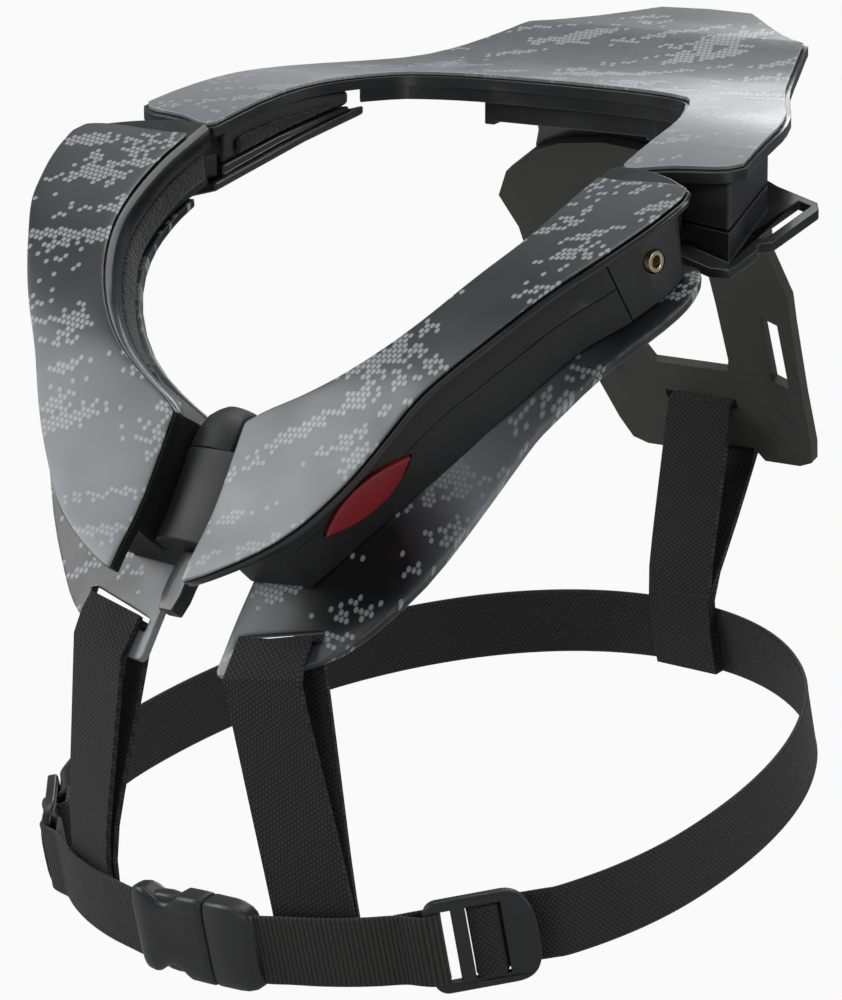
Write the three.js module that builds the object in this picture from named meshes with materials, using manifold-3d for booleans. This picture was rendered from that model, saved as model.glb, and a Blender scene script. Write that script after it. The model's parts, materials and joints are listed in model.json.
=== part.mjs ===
// Motocross neck brace, worn round the neck and held down by a webbing harness.
// Millimetres, +Z up, +X the wearer's left, -Y the wearer's front.
// The origin is the middle of the neck opening.
import * as THREE from 'three';
import { mergeVertices } from 'three/addons/utils/BufferGeometryUtils.js';
import Module from 'manifold-3d';

const wasm = await Module();
wasm.setup();

// Clearances and walls
const GAP = 0.3; // between pieces that touch
const PRINT_WALL = 1.2; // printed cover plates
const SHELL_WALL = 3.6; // moulded upper shells
const PLATE_WALL = 3.2; // lower plates that carry the webbing
const WEBBING_WALL = 1.8;
const SHELL_LIP = 1.6; // rim of a shell outside its printed cover

// Rear table
const TABLE_HALF_WIDTH = 138;
const TABLE_REACH = 156; // from the neck axis to the rear edge
const TABLE_HEIGHT = 42.3; // top of the arms' front ends
const TABLE_RISE = 35.2; // from there to the rear edge
const ROLL_DEPTH = 10; // height of the rolled inner wall
const ROLL_WALL = 4.5;

// Rear arms
const ARM_FRONT = 6; // front face of the arm block, along Y
const ARM_LENGTH = 31;
const ARM_TAIL = 16; // further length of the block along the inner edge
const ARM_INSET = 3; // from the table's outer edge
const ARM_BASE_INNER = 0.66; // inner edge of the lower plate, as a share of the table's half width
const ARM_BASE_HEIGHT = 21.5; // of the lower plate's top at that edge, beside the neck axis
const ARM_BASE_RISE = 0.36; // slope of the lower plate to the back
const ARM_BASE_DROP = 0.24; // slope of the lower plate to the outside
const ARM_BASE_FRONT = 0; // front edge of the lower plate, along Y
const ROOT_HEIGHT = 3.3; // of the plate's raised root at its inner edge
const ROOT_GROWTH = 0.14; // further height of the root for each mm outwards
const ROOT_MARGIN = 2.5; // of the root round the block
const TAB_REACH = 13.5; // webbing tab outside the arm block
const TAB_FRONT = 20;
const TAB_LENGTH = 30;
const TAB_SLOT_LENGTH = 24;
const TAB_BAR = 3.5; // plate left outside the slot
const TAB_SLOT_WIDTH = 5;
const TAB_CORNER = 3; // cut corners of the lower plate and its tab
const PAD_THICKNESS = 3;

// Front halves
const FRONT_HALF_WIDTH = 140.3;
const FRONT_START = -13; // rear end of the printed cover, along Y
const FRONT_REACH = 124; // from there to the lowest point of the path
const FRONT_HEIGHT = 30;
const FRONT_DROP = 136;
const OUTWARD_RISE = 0.1; // of all front surfaces, for each mm to the outside
const LATCH_HALF_GAP = 16.5; // from the middle plane to each half
const SEAM_DEPTH = 14; // seam between the core's two mouldings
const CORE_INSET = 4.5; // of the core under the cover's edge
const CORE_FLARE = 0.6; // how far the core follows the lower plate outwards
const HINGE_END = 42; // length of the hinge block along the path
const CORE_END = 152; // end of the core along the path
const FRONT_ROLL = 9.3; // depth of the rolled inner wall
const PAD_DEPTH = 19.5; // lower edge of the pad
const PAD_START = -6; // along the path
const PAD_END = 103;
const SLOT_PLACE = 178; // inner end of the strap slot along the path
const SLOT_SLANT = 0.18; // how far the slot goes back for each mm outwards
const SLOT_INNER = 21;
const SLOT_LENGTH = 33;
const SLOT_WIDTH = 5;
const SLOT_BAR = 12; // plate left below the slot

// Hinge pins and release button
const LINK_HEIGHT = 8;
const PIN_RADIUS = 3.6;
const PIN_BORE = 2;
const PIN_LENGTH = 9;
const PIN_PLACE = 26; // along the path
const PIN_DEPTH = 14.3;
const BUTTON_LENGTH = 40;
const BUTTON_HEIGHT = 12.5;
const BUTTON_PLACE = 130.5; // middle of the button along the path
const BUTTON_DEPTH = 16;
const BUTTON_SKEW = 1.2; // how much deeper its front end lies
const BUTTON_THICKNESS = 8;
const BUTTON_PROUD = 1;
const BUTTON_TRAVEL = 2.5;

// Latch between the halves
const LATCH_START = 101;
const LATCH_SPLIT = 119; // between the head and the cover
const LATCH_END = 150;
const LATCH_DEPTH = 7; // of the cover's crown under the printed covers
const LATCH_BODY = 20;
const LATCH_CROWN = 5; // how far the cover's sides lie under its crown
const LATCH_BAR_END = 174;
const LATCH_BAR_WIDTH = 9;
const LATCH_BAR_WALL = 6;
const HEAD_ASIDE = -5.5; // middle of the latch's head, towards the wearer's right
const HEAD_HALF_WIDTH = 10.5;
const KNOB_ASIDE = 7;
const KNOB_RADIUS = 3.2;
const KNOB_LENGTH = 5;

// Back plate
const BACK_LEAN = 0.57; // how far the plate goes back for each mm down
const BACK_PLACE = 117.8; // of its wearer side at the height of the neck axis
const BACK_TOP = 46;
const BACK_BOTTOM = -86;
const BACK_HALF_WIDTH = 62;
const BACK_WALL = 4;
const TONGUE_WALL = 4;
const BRACKET_HALF_WIDTH = 40;
const BRACKET_REACH = 24; // behind the plate's top
const BRACKET_DEPTH = 7; // under the plate's top
const BRACKET_RISE = 0.15; // of its underside to the back
const BACK_SLOT_LENGTH = 33;
const BACK_SLOT_HEIGHT = 5;
const BACK_BOTTOM_BAR = 20; // plate left below the strap slot
const BACK_SLOT_PLACE = -64; // height of the strap slot
const SCREW_RADIUS = 3.2;
const SCREW_HEAD = 1.6;
const SCREW_ASIDE = 38;
const SCREW_PLACE = -53;

// Harness
const STRAP_WIDTH = 29; // straps that hang from the brace
const STRAP_EASE = 1.1; // round the bars that straps hang on
const STRAP_SAG = 1; // room for the loop's bend behind a flat strap
const STRAP_TURN = 0.065; // of the front straps' feet from the middle of the loop's front
const CHEST_WIDTH = 25;
const CHEST_HALF_WIDTH = 130;
const CHEST_FRONT = 111;
const CHEST_BACK = 142;
const CHEST_HEIGHT = -183;
const CHEST_SLOPE = 0.25; // rise of the chest loop to the back
const CHEST_SQUARENESS = 2.1; // 2 is an ellipse
const CHEST_STEP = 11; // longest flat of the webbing along the loop
const LOCK_WALL = 3.4;
const LOCK_MARGIN = 4;
const LOCK_CORNER = 7;
const BUCKLE_WALL = 11;
const BUCKLE_MARGIN = 3.5;
const SOCKET_LENGTH = 34;
const PLUG_LENGTH = 20;
const POCKET_DEPTH = 7; // of the webbing's end in the buckle
const BUCKLE_LIFT = -1.5; // stiff pieces lie inside the bend of the loop
const LOCK_LIFT = -0.7;

// Places on the chest loop, in turns from the wearer's left towards the back
const BUCKLE_TURN = 0.7585; // middle of the buckle
const REAR_STRAP_TURN = 0.242;
const NEAR_LOCK_TURN = 0.888;
const FAR_LOCK_TURN = 0.612;

const SIDES = { left: 1, right: -1 };

// Side profile of the table: share of the reach, share of the rise
const TABLE_PROFILE = [
  { along: -0.06, up: -0.1 },
  { along: 0, up: 0 },
  { along: 0.13, up: 0.2 },
  { along: 0.26, up: 0.34 },
  { along: 0.39, up: 0.41 },
  { along: 0.58, up: 0.47 },
  { along: 0.69, up: 0.575 },
  { along: 0.78, up: 0.713 },
  { along: 0.84, up: 0.815 },
  { along: 0.93, up: 0.906 },
  { along: 1.03, up: 1.04 },
];

// Outer edge of the table, left half: shares of half width and reach, curve by curve
const TABLE_OUTER_CURVES = [
  [
    { out: 0.993, back: 0.06 },
    { out: 0.962, back: 0.145 },
    { out: 0.913, back: 0.263 },
    { out: 0.84, back: 0.365 },
  ],
  [
    { out: 0.84, back: 0.365 },
    { out: 0.714, back: 0.5 },
    { out: 0.59, back: 0.64 },
    { out: 0.46, back: 0.84 },
  ],
  [
    { out: 0.46, back: 0.84 },
    { out: 0.38, back: 0.868 },
    { out: 0.272, back: 0.927 },
    { out: 0.152, back: 0.993 },
  ],
  [{ out: 0.152, back: 0.993 }, { out: 0, back: 1 }],
];
const TABLE_INNER_CURVE = [
  { out: 0, back: 0.484 },
  { out: 0.188, back: 0.48 },
  { out: 0.326, back: 0.468 },
  { out: 0.435, back: 0.442 },
  { out: 0.503, back: 0.404 },
  { out: 0.595, back: 0.29 },
  { out: 0.643, back: 0.19 },
  { out: 0.67, back: 0.06 },
  { out: 0.681, back: 0.005 },
];
const TABLE_END_CURVE = [
  { out: 0.681, back: 0.005 },
  { out: 0.715, back: -0.008 },
  { out: 0.82, back: 0.02 },
  { out: 0.95, back: 0.035 },
  { out: 0.993, back: 0.06 },
];

// Side profile of the front halves: share of the reach, share of the drop
const FRONT_PROFILE = [
  { along: 0, down: 0 },
  { along: 0.113, down: 0.051 },
  { along: 0.26, down: 0.13 },
  { along: 0.395, down: 0.21 },
  { along: 0.53, down: 0.33 },
  { along: 0.62, down: 0.43 },
  { along: 0.69, down: 0.545 },
  { along: 0.755, down: 0.66 },
  { along: 0.81, down: 0.745 },
  { along: 0.895, down: 0.845 },
  { along: 1, down: 1 },
];

// Body behind the front covers, slanted in plan: share of the path, share of the half width
const HEEL_SECTIONS = [
  { along: -0.048, outer: 0.7 },
  { along: -0.04, outer: 0.76 },
  { along: -0.025, outer: 0.82 },
  { along: -0.008, outer: 0.875 },
  { along: 0.01, outer: 0.92 },
  { along: 0.025, outer: 0.955 },
];

// Printed front cover: share of the path, then shares of the front half width
const COVER_SECTIONS = [
  { along: 0, inner: 0.673, outer: 0.69 },
  { along: 0.01, inner: 0.672, outer: 0.74 },
  { along: 0.018, inner: 0.672, outer: 0.86 },
  { along: 0.027, inner: 0.671, outer: 0.94 },
  { along: 0.042, inner: 0.67, outer: 0.985 },
  { along: 0.069, inner: 0.669, outer: 1 },
  { along: 0.111, inner: 0.664, outer: 0.992 },
  { along: 0.159, inner: 0.656, outer: 0.975 },
  { along: 0.212, inner: 0.641, outer: 0.944 },
  { along: 0.265, inner: 0.616, outer: 0.912 },
  { along: 0.318, inner: 0.583, outer: 0.859 },
  { along: 0.371, inner: 0.543, outer: 0.81 },
  { along: 0.424, inner: 0.488, outer: 0.759 },
  { along: 0.466, inner: 0.432, outer: 0.715 },
  { along: 0.503, inner: 0.369, outer: 0.674 },
  { along: 0.53, inner: 0.306, outer: 0.644 },
  { along: 0.551, inner: 0.246, outer: 0.624 },
  { along: 0.569, inner: 0.178, outer: 0.608 },
  { along: 0.593, inner: 0.118, outer: 0.59 },
  { along: 0.636, inner: 0.118, outer: 0.557 },
  { along: 0.689, inner: 0.118, outer: 0.513 },
  { along: 0.741, inner: 0.118, outer: 0.456 },
  { along: 0.784, inner: 0.118, outer: 0.403 },
  { along: 0.821, inner: 0.118, outer: 0.344 },
  { along: 0.847, inner: 0.118, outer: 0.284 },
  { along: 0.869, inner: 0.118, outer: 0.224 },
  { along: 0.885, inner: 0.118, outer: 0.171 },
  { along: 0.893, inner: 0.118, outer: 0.136 },
];

// Body under the printed covers: the heel, then the covers' own edge
const BODY_SECTIONS = [...HEEL_SECTIONS, ...COVER_SECTIONS.filter((row) => row.along > 0.04)];

// Lower front plate: its edges, and the depth of its top face in shares of LOWER_DEPTH
const LOWER_DEPTH = 33;
const LOWER_SECTIONS = [
  { along: -0.005, inner: 0.67, outer: 0.93, innerDepth: 0.71, outerDepth: 0.9 },
  { along: 0.014, inner: 0.664, outer: 0.985, innerDepth: 0.7, outerDepth: 0.88 },
  { along: 0.05, inner: 0.66, outer: 1.02, innerDepth: 0.69, outerDepth: 0.87 },
  { along: 0.106, inner: 0.652, outer: 1.035, innerDepth: 0.68, outerDepth: 0.86 },
  { along: 0.16, inner: 0.645, outer: 1.03, innerDepth: 0.67, outerDepth: 0.86 },
  { along: 0.256, inner: 0.606, outer: 1, innerDepth: 0.66, outerDepth: 0.86 },
  { along: 0.37, inner: 0.54, outer: 0.92, innerDepth: 0.66, outerDepth: 0.88 },
  { along: 0.466, inner: 0.42, outer: 0.862, innerDepth: 0.68, outerDepth: 0.91 },
  { along: 0.53, inner: 0.294, outer: 0.82, innerDepth: 0.74, outerDepth: 0.93 },
  { along: 0.569, inner: 0.172, outer: 0.8, innerDepth: 0.78, outerDepth: 0.94 },
  { along: 0.634, inner: 0.121, outer: 0.755, innerDepth: 0.83, outerDepth: 0.96 },
  { along: 0.714, inner: 0.121, outer: 0.69, innerDepth: 0.87, outerDepth: 1 },
  { along: 0.788, inner: 0.121, outer: 0.615, innerDepth: 0.89, outerDepth: 1.05 },
  { along: 0.872, inner: 0.121, outer: 0.527, innerDepth: 0.91, outerDepth: 1.1 },
  { along: 0.908, inner: 0.121, outer: 0.49, innerDepth: 0.91, outerDepth: 1.1 },
  { along: 0.945, inner: 0.121, outer: 0.44, innerDepth: 0.91, outerDepth: 1.08 },
  { along: 0.975, inner: 0.121, outer: 0.36, innerDepth: 0.91, outerDepth: 1.03 },
  { along: 0.995, inner: 0.121, outer: 0.27, innerDepth: 0.91, outerDepth: 0.985 },
  { along: 1.005, inner: 0.13, outer: 0.19, innerDepth: 0.91, outerDepth: 0.945 },
];

// Back plate and its tongue, left half: share of the half width, share of top to bottom
const BACK_OUTLINE = [
  { out: 0, down: 0.09 },
  { out: 0.35, down: 0.105 },
  { out: 0.6, down: 0.14 },
  { out: 0.66, down: 0.155 },
  { out: 0.86, down: 0.205 },
  { out: 1, down: 0.28 },
  { out: 0.94, down: 0.37 },
  { out: 0.965, down: 0.49 },
  { out: 0.915, down: 0.57 },
  { out: 0.8, down: 0.78 },
  { out: 0.73, down: 0.93 },
  { out: 0.68, down: 0.985 },
  { out: 0.58, down: 1 },
  { out: 0.32, down: 1 },
  { out: 0.27, down: 0.965 },
  { out: 0, down: 0.965 },
];
const TONGUE_OUTLINE = [
  { out: 0, down: 0 },
  { out: 0.56, down: 0 },
  { out: 0.58, down: 0.025 },
  { out: 0.53, down: 0.06 },
  { out: 0.55, down: 0.095 },
  { out: 0.62, down: 0.14 },
  { out: 0.62, down: 0.3 },
  { out: 0, down: 0.3 },
];
const WINDOW_OUTLINE = [
  { out: 0, down: 0.4 },
  { out: 0.4, down: 0.4 },
  { out: 0.43, down: 0.44 },
  { out: 0.4, down: 0.53 },
  { out: 0.33, down: 0.7 },
  { out: 0.29, down: 0.735 },
  { out: 0, down: 0.735 },
];
const WING_SLOT_OUTLINE = [
  { out: 0.7, down: 0.555 },
  { out: 0.81, down: 0.575 },
  { out: 0.72, down: 0.765 },
  { out: 0.61, down: 0.745 },
];

// Colours, roughness and metalness
const FINISHES = {
  print: { color: 0x4a4b4d, roughness: 0.35, metalness: 0 },
  shell: { color: 0x17181a, roughness: 0.35, metalness: 0 },
  core: { color: 0x1b1c1e, roughness: 0.6, metalness: 0 },
  pad: { color: 0x0f0f11, roughness: 0.95, metalness: 0 },
  back: { color: 0x23221f, roughness: 0.7, metalness: 0 },
  webbing: { color: 0x101010, roughness: 0.9, metalness: 0 },
  hardware: { color: 0x141516, roughness: 0.4, metalness: 0 },
  button: { color: 0x5c0d10, roughness: 0.35, metalness: 0 },
  pin: { color: 0xb7a98a, roughness: 0.25, metalness: 1 },
};

const brace = new THREE.Group();

function addPiece(name, geometry, finish) {
  const mesh = new THREE.Mesh(geometry, new THREE.MeshStandardMaterial(FINISHES[finish]));
  mesh.name = name;
  brace.add(mesh);
}

// Solids in and out of the boolean library
function toSolid(geometry) {
  const bare = geometry.clone();
  bare.deleteAttribute('normal');
  bare.deleteAttribute('uv');
  const merged = mergeVertices(bare, 1e-4);
  return new wasm.Manifold(new wasm.Mesh({
    numProp: 3,
    vertProperties: new Float32Array(merged.attributes.position.array),
    triVerts: new Uint32Array(merged.index.array),
  }));
}

function fromSolid(solid) {
  const mesh = solid.getMesh();
  const geometry = new THREE.BufferGeometry();
  geometry.setAttribute('position', new THREE.BufferAttribute(new Float32Array(mesh.vertProperties), 3));
  geometry.setIndex(new THREE.BufferAttribute(new Uint32Array(mesh.triVerts), 1));
  geometry.computeVertexNormals();
  return geometry;
}

const join = (...parts) => fromSolid(parts.map(toSolid).reduce((whole, part) => whole.add(part)));
const common = (...parts) => fromSolid(parts.map(toSolid).reduce((whole, part) => whole.intersect(part)));

function cut(body, ...tools) {
  return fromSolid(tools.map(toSolid).reduce((whole, tool) => whole.subtract(tool), toSolid(body)));
}

// Swaps left and right and turns the faces out again
function mirrored(geometry) {
  const copy = geometry.clone().applyMatrix4(new THREE.Matrix4().makeScale(-1, 1, 1));
  const source = copy.index ? copy : mergeVertices(copy);
  const index = Array.from(source.index.array);
  for (let i = 0; i < index.length; i += 3) {
    [index[i + 1], index[i + 2]] = [index[i + 2], index[i + 1]];
  }
  source.setIndex(index);
  return source;
}

const forSide = (side, geometry) => (side > 0 ? geometry : mirrored(geometry));

// An upright prism over an outline in X and Y
function prism(outline, low, high) {
  const shape = new THREE.Shape(outline);
  const geometry = new THREE.ExtrudeGeometry(shape, { depth: high - low, bevelEnabled: false });
  return geometry.translate(0, 0, low);
}

function rectangle(x0, y0, x1, y1) {
  return [[x0, y0], [x1, y0], [x1, y1], [x0, y1]].map(([x, y]) => new THREE.Vector2(x, y));
}

// A prism across X over an outline whose x is the Y axis and whose y is the Z axis
function crossPrism(outline, from, to) {
  const geometry = prism(outline, from, to);
  const axes = new THREE.Matrix4().makeBasis(
    new THREE.Vector3(0, 1, 0), new THREE.Vector3(0, 0, 1), new THREE.Vector3(1, 0, 0));
  return geometry.applyMatrix4(axes);
}

// Moves an outline outwards by a distance, inwards where it is negative
function offsetOutline(outline, distance) {
  const turn = THREE.ShapeUtils.isClockWise(outline) ? -1 : 1;
  return outline.map((point, i) => {
    const before = outline[(i + outline.length - 1) % outline.length];
    const after = outline[(i + 1) % outline.length];
    const a = new THREE.Vector2().subVectors(point, before).normalize();
    const b = new THREE.Vector2().subVectors(after, point).normalize();
    const normal = new THREE.Vector2(a.y + b.y, -a.x - b.x).normalize();
    const spread = Math.max(0.5, normal.dot(new THREE.Vector2(a.y, -a.x)));
    return point.clone().addScaledVector(normal, (turn * distance) / spread);
  });
}

// Joins rings of the same number of points into one closed body
function loft(rings, closed = false) {
  const size = rings[0].length;
  const positions = rings.flat().flatMap((p) => [p.x, p.y, p.z]);
  const index = [];
  const last = closed ? rings.length : rings.length - 1;
  for (let i = 0; i < last; i += 1) {
    const a = i * size;
    const b = ((i + 1) % rings.length) * size;
    for (let j = 0; j < size; j += 1) {
      const k = (j + 1) % size;
      index.push(a + j, a + k, b + k, a + j, b + k, b + j);
    }
  }
  if (!closed) {
    for (const [start, flip] of [[0, true], [(rings.length - 1) * size, false]]) {
      for (const face of capFaces(rings[start / size])) {
        index.push(...(flip ? [face[2], face[1], face[0]] : face).map((v) => v + start));
      }
    }
  }
  const geometry = new THREE.BufferGeometry();
  geometry.setAttribute('position', new THREE.Float32BufferAttribute(positions, 3));
  geometry.setIndex(index);
  return facingOut(geometry);
}

// Triangles over one ring, worked out in the ring's own plane
function capFaces(ring) {
  const normal = new THREE.Vector3();
  ring.forEach((p, i) => normal.add(new THREE.Vector3().crossVectors(p, ring[(i + 1) % ring.length])));
  normal.normalize();
  const u = new THREE.Vector3().subVectors(ring[1], ring[0]).normalize();
  const v = new THREE.Vector3().crossVectors(normal, u);
  return THREE.ShapeUtils.triangulateShape(ring.map((p) => new THREE.Vector2(p.dot(u), p.dot(v))), []);
}

// Turns all faces round where the body's volume comes out negative
function facingOut(geometry) {
  const p = geometry.attributes.position;
  const index = Array.from(geometry.index.array);
  const corner = (i) => new THREE.Vector3().fromBufferAttribute(p, i);
  let volume = 0;
  for (let i = 0; i < index.length; i += 3) {
    volume += corner(index[i]).dot(corner(index[i + 1]).cross(corner(index[i + 2])));
  }
  if (volume < 0) {
    for (let i = 0; i < index.length; i += 3) {
      [index[i + 1], index[i + 2]] = [index[i + 2], index[i + 1]];
    }
  }
  geometry.setIndex(index);
  geometry.computeVertexNormals();
  return geometry;
}

// Value of a table column between its rows
function between(rows, key, along) {
  const i = Math.min(rows.length - 2, Math.max(0, rows.findLastIndex((row) => row.along <= along)));
  const share = (along - rows[i].along) / (rows[i + 1].along - rows[i].along);
  return THREE.MathUtils.lerp(rows[i][key], rows[i + 1][key], THREE.MathUtils.clamp(share, 0, 1));
}

// Rear table
const tableProfile = new THREE.SplineCurve(TABLE_PROFILE.map(
  (row) => new THREE.Vector2(row.along * TABLE_REACH, TABLE_HEIGHT + row.up * TABLE_RISE)));

// A layer of the table, from one depth under its top face to another
function tableLayer(outline, top, bottom) {
  const steps = 26;
  const line = tableProfile.getPoints(steps);
  const upper = line.map((p) => new THREE.Vector2(p.x, p.y - top));
  const lower = line.map((p) => new THREE.Vector2(p.x, p.y - bottom)).reverse();
  const reach = TABLE_HALF_WIDTH + SHELL_LIP * 2;
  const sheet = crossPrism([...upper, ...lower], -reach, reach);
  return common(prism(outline, TABLE_HEIGHT - TABLE_RISE, TABLE_HEIGHT + 2 * TABLE_RISE), sheet);
}

const tablePoint = (row) => new THREE.Vector2(row.out * TABLE_HALF_WIDTH, row.back * TABLE_REACH);

function curvePoints(rows, steps) {
  return new THREE.SplineCurve(rows.map(tablePoint)).getPoints(steps);
}

function tableHalfEdges() {
  const inner = curvePoints(TABLE_INNER_CURVE, 16);
  const end = curvePoints(TABLE_END_CURVE, 10).slice(1);
  const outer = TABLE_OUTER_CURVES.flatMap((rows) => curvePoints(rows, rows.length > 2 ? 8 : 1).slice(1));
  return { inner, outer: [...end, ...outer] };
}

function tableOutline() {
  const { inner, outer } = tableHalfEdges();
  const half = [...inner, ...outer];
  const other = half.slice(1, -1).map((p) => new THREE.Vector2(-p.x, p.y)).reverse();
  return [...half, ...other];
}

function rearPrint() {
  return tableLayer(tableOutline(), 0, PRINT_WALL);
}

// Shell under the print, with the rolled wall along the neck opening
function rearShell() {
  const top = PRINT_WALL + GAP;
  const deck = tableLayer(offsetOutline(tableOutline(), SHELL_LIP), top, top + SHELL_WALL);
  const { inner } = tableHalfEdges();
  const near = inner.filter((p) => p.y > ARM_FRONT + ARM_LENGTH + ARM_TAIL + GAP);
  const both = [...near.slice().reverse(), ...near.slice(1).map((p) => new THREE.Vector2(-p.x, p.y))];
  const wall = [...both, ...both.map((p) => new THREE.Vector2(p.x * 1.06, p.y + ROLL_WALL)).reverse()];
  return join(deck, tableLayer(wall, top + SHELL_WALL / 2, ROLL_DEPTH));
}

// Underside of the table's shell, as a side view outline that reaches far down
function underTable(from, to) {
  const under = PRINT_WALL + SHELL_WALL + 2 * GAP;
  const line = tableProfile.getPoints(26).map((p) => new THREE.Vector2(p.x, p.y - under));
  const depth = TABLE_HEIGHT - 2 * TABLE_RISE;
  const outline = [...line, new THREE.Vector2(TABLE_REACH, depth), new THREE.Vector2(line[0].x, depth)];
  return crossPrism(outline, from, to);
}

// Heights of the rear lower plates' top face and of the arm blocks' foot
const lowerInner = ARM_BASE_INNER * TABLE_HALF_WIDTH;
const armBaseHeight = (x, y) => ARM_BASE_HEIGHT + ARM_BASE_RISE * y - ARM_BASE_DROP * (x - lowerInner);
const armRootHeight = (x, y) => armBaseHeight(x, y) + ROOT_HEIGHT + ROOT_GROWTH * (x - lowerInner);

// A slab over an outline between two sloping faces
function slopingSlab(outline, low, high) {
  const slab = prism(outline, 0, 1);
  const p = slab.attributes.position;
  for (let i = 0; i < p.count; i += 1) {
    const face = p.getZ(i) > 0.5 ? high : low;
    p.setZ(i, face(p.getX(i), p.getY(i)));
  }
  return slab;
}

function tableEdgeAt(rows, y) {
  const points = rows.map(tablePoint).sort((a, b) => a.y - b.y);
  const i = Math.min(points.length - 2, Math.max(0, points.findLastIndex((p) => p.y <= y)));
  const share = (y - points[i].y) / (points[i + 1].y - points[i].y);
  return THREE.MathUtils.lerp(points[i].x, points[i + 1].x, THREE.MathUtils.clamp(share, 0, 1));
}

const armInner = (y) => tableEdgeAt(TABLE_INNER_CURVE, y);
const armOuter = (y) => tableEdgeAt(TABLE_OUTER_CURVES[0], y) - ARM_INSET;

const armStations = sharesBetween(ARM_FRONT, ARM_FRONT + ARM_LENGTH + ARM_TAIL, 12);

function armOutline(inset) {
  const back = ARM_FRONT + ARM_LENGTH;
  const tail = back + ARM_TAIL;
  return [
    new THREE.Vector2(armOuter(ARM_FRONT), ARM_FRONT),
    new THREE.Vector2(armOuter(back), back),
    new THREE.Vector2(armOuter(back) - ARM_TAIL, tail),
    ...armStations.map((y) => new THREE.Vector2(armInner(y) + inset, y)).reverse(),
  ];
}

// Block under each arm of the table, down to the lower plate
function armBlock() {
  const foot = (x, y) => armRootHeight(x, y) + GAP;
  const body = slopingSlab(armOutline(PAD_THICKNESS), foot, () => TABLE_HEIGHT + TABLE_RISE);
  return common(body, underTable(0, TABLE_HALF_WIDTH * 2));
}

// Pad on the neck side of each arm block
function armPad() {
  const under = PRINT_WALL + SHELL_WALL + 1.5 * PAD_THICKNESS;
  return loft(armStations.slice(1, -1).map((y) => {
    const x = armInner(y) + PAD_THICKNESS - 1.5 * GAP;
    const low = armRootHeight(x, y) + 1;
    const high = Math.max(low + PAD_THICKNESS, tableHeight(y) - under);
    const face = x - PAD_THICKNESS;
    return [
      new THREE.Vector3(x, y, low), new THREE.Vector3(x, y, high),
      new THREE.Vector3(face, y, high - 1), new THREE.Vector3(face, y, low + 1),
    ];
  }));
}

function tableHeight(y) {
  return TABLE_HEIGHT + TABLE_RISE * between(TABLE_PROFILE, 'up', y / TABLE_REACH);
}

// Lower plate of each arm: a raised root under the block and a webbing tab outside it
function armBasePlate() {
  const back = ARM_FRONT + ARM_LENGTH;
  const tail = back + ARM_TAIL + ROOT_MARGIN;
  const tabOut = armOuter(back) + TAB_REACH;
  const tabBack = TAB_FRONT + TAB_LENGTH;
  const outline = [
    new THREE.Vector2(armInner(0), ARM_BASE_FRONT),
    new THREE.Vector2(armOuter(0) - TAB_CORNER, ARM_BASE_FRONT),
    new THREE.Vector2(armOuter(0) + TAB_CORNER, ARM_BASE_FRONT + TAB_CORNER),
    new THREE.Vector2(armOuter(0) + TAB_CORNER, TAB_FRONT - TAB_CORNER),
    new THREE.Vector2(tabOut - TAB_CORNER, TAB_FRONT),
    new THREE.Vector2(tabOut, TAB_FRONT + TAB_CORNER),
    new THREE.Vector2(tabOut, tabBack - TAB_CORNER),
    new THREE.Vector2(tabOut - TAB_CORNER, tabBack),
    new THREE.Vector2(armOuter(back) - 2 * TAB_CORNER, tabBack),
    new THREE.Vector2(armInner(tail) + 3 * TAB_CORNER, tail),
    new THREE.Vector2(armInner(tail), tail),
    new THREE.Vector2(armInner(back), back),
  ];
  const under = (x, y) => armBaseHeight(x, y) - PLATE_WALL;
  const slotMiddle = TAB_FRONT + TAB_LENGTH / 2;
  const slotOut = tabOut - TAB_BAR;
  const hole = rectangle(slotOut - TAB_SLOT_WIDTH, slotMiddle - TAB_SLOT_LENGTH / 2,
    slotOut, slotMiddle + TAB_SLOT_LENGTH / 2);
  const slot = slopingSlab(hole, (x, y) => under(x, y) - PLATE_WALL, (x, y) => under(x, y) + 6 * PLATE_WALL);
  const root = slopingSlab(armOutline(PAD_THICKNESS), under, armRootHeight);
  return cut(join(slopingSlab(outline, under, armBaseHeight), root), slot);
}

// Link between each arm block and its front half
function hingeLink() {
  const depth = (LOWER_DEPTH + LINK_HEIGHT) / 2;
  const edge = HEEL_SECTIONS.slice(0, 3).map((row) => {
    const place = frontPoint(row.along, row.outer * FRONT_HALF_WIDTH, depth);
    return new THREE.Vector2(place.x, place.y + 2 * GAP);
  });
  const rear = ARM_FRONT - GAP;
  const outline = [...edge, new THREE.Vector2(edge[2].x, rear), new THREE.Vector2(edge[0].x, rear)];
  const middle = frontPoint(0, edge[1].x, LOWER_DEPTH / 2).z + LINK_HEIGHT / 4;
  return prism(outline, middle - LINK_HEIGHT / 2, middle + LINK_HEIGHT / 2);
}

// Front halves: a path in the side view, with depth under it
const frontPath = new THREE.SplineCurve(FRONT_PROFILE.map((row) => new THREE.Vector2(
  FRONT_START - row.along * FRONT_REACH, FRONT_HEIGHT - row.down * FRONT_DROP)));
frontPath.arcLengthDivisions = 400;
const frontLength = frontPath.getLength();

// The depth leans back less than square to the path near the hinge
function frontFrame(share) {
  const t = THREE.MathUtils.clamp(share, 0, 1);
  const tangent = frontPath.getTangentAt(t);
  const point = frontPath.getPointAt(t).addScaledVector(tangent, (share - t) * frontLength);
  const slope = Math.atan2(-tangent.y, -tangent.x);
  const lean = slope * (0.2 + 0.8 * THREE.MathUtils.smoothstep(t, 0, 0.32));
  return { point, depth: new THREE.Vector2(Math.sin(lean), -Math.cos(lean)) };
}

function frontPoint(share, x, depth) {
  const frame = frontFrame(share);
  return new THREE.Vector3(x, frame.point.x + frame.depth.x * depth,
    frame.point.y + frame.depth.y * depth + OUTWARD_RISE * x);
}

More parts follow.
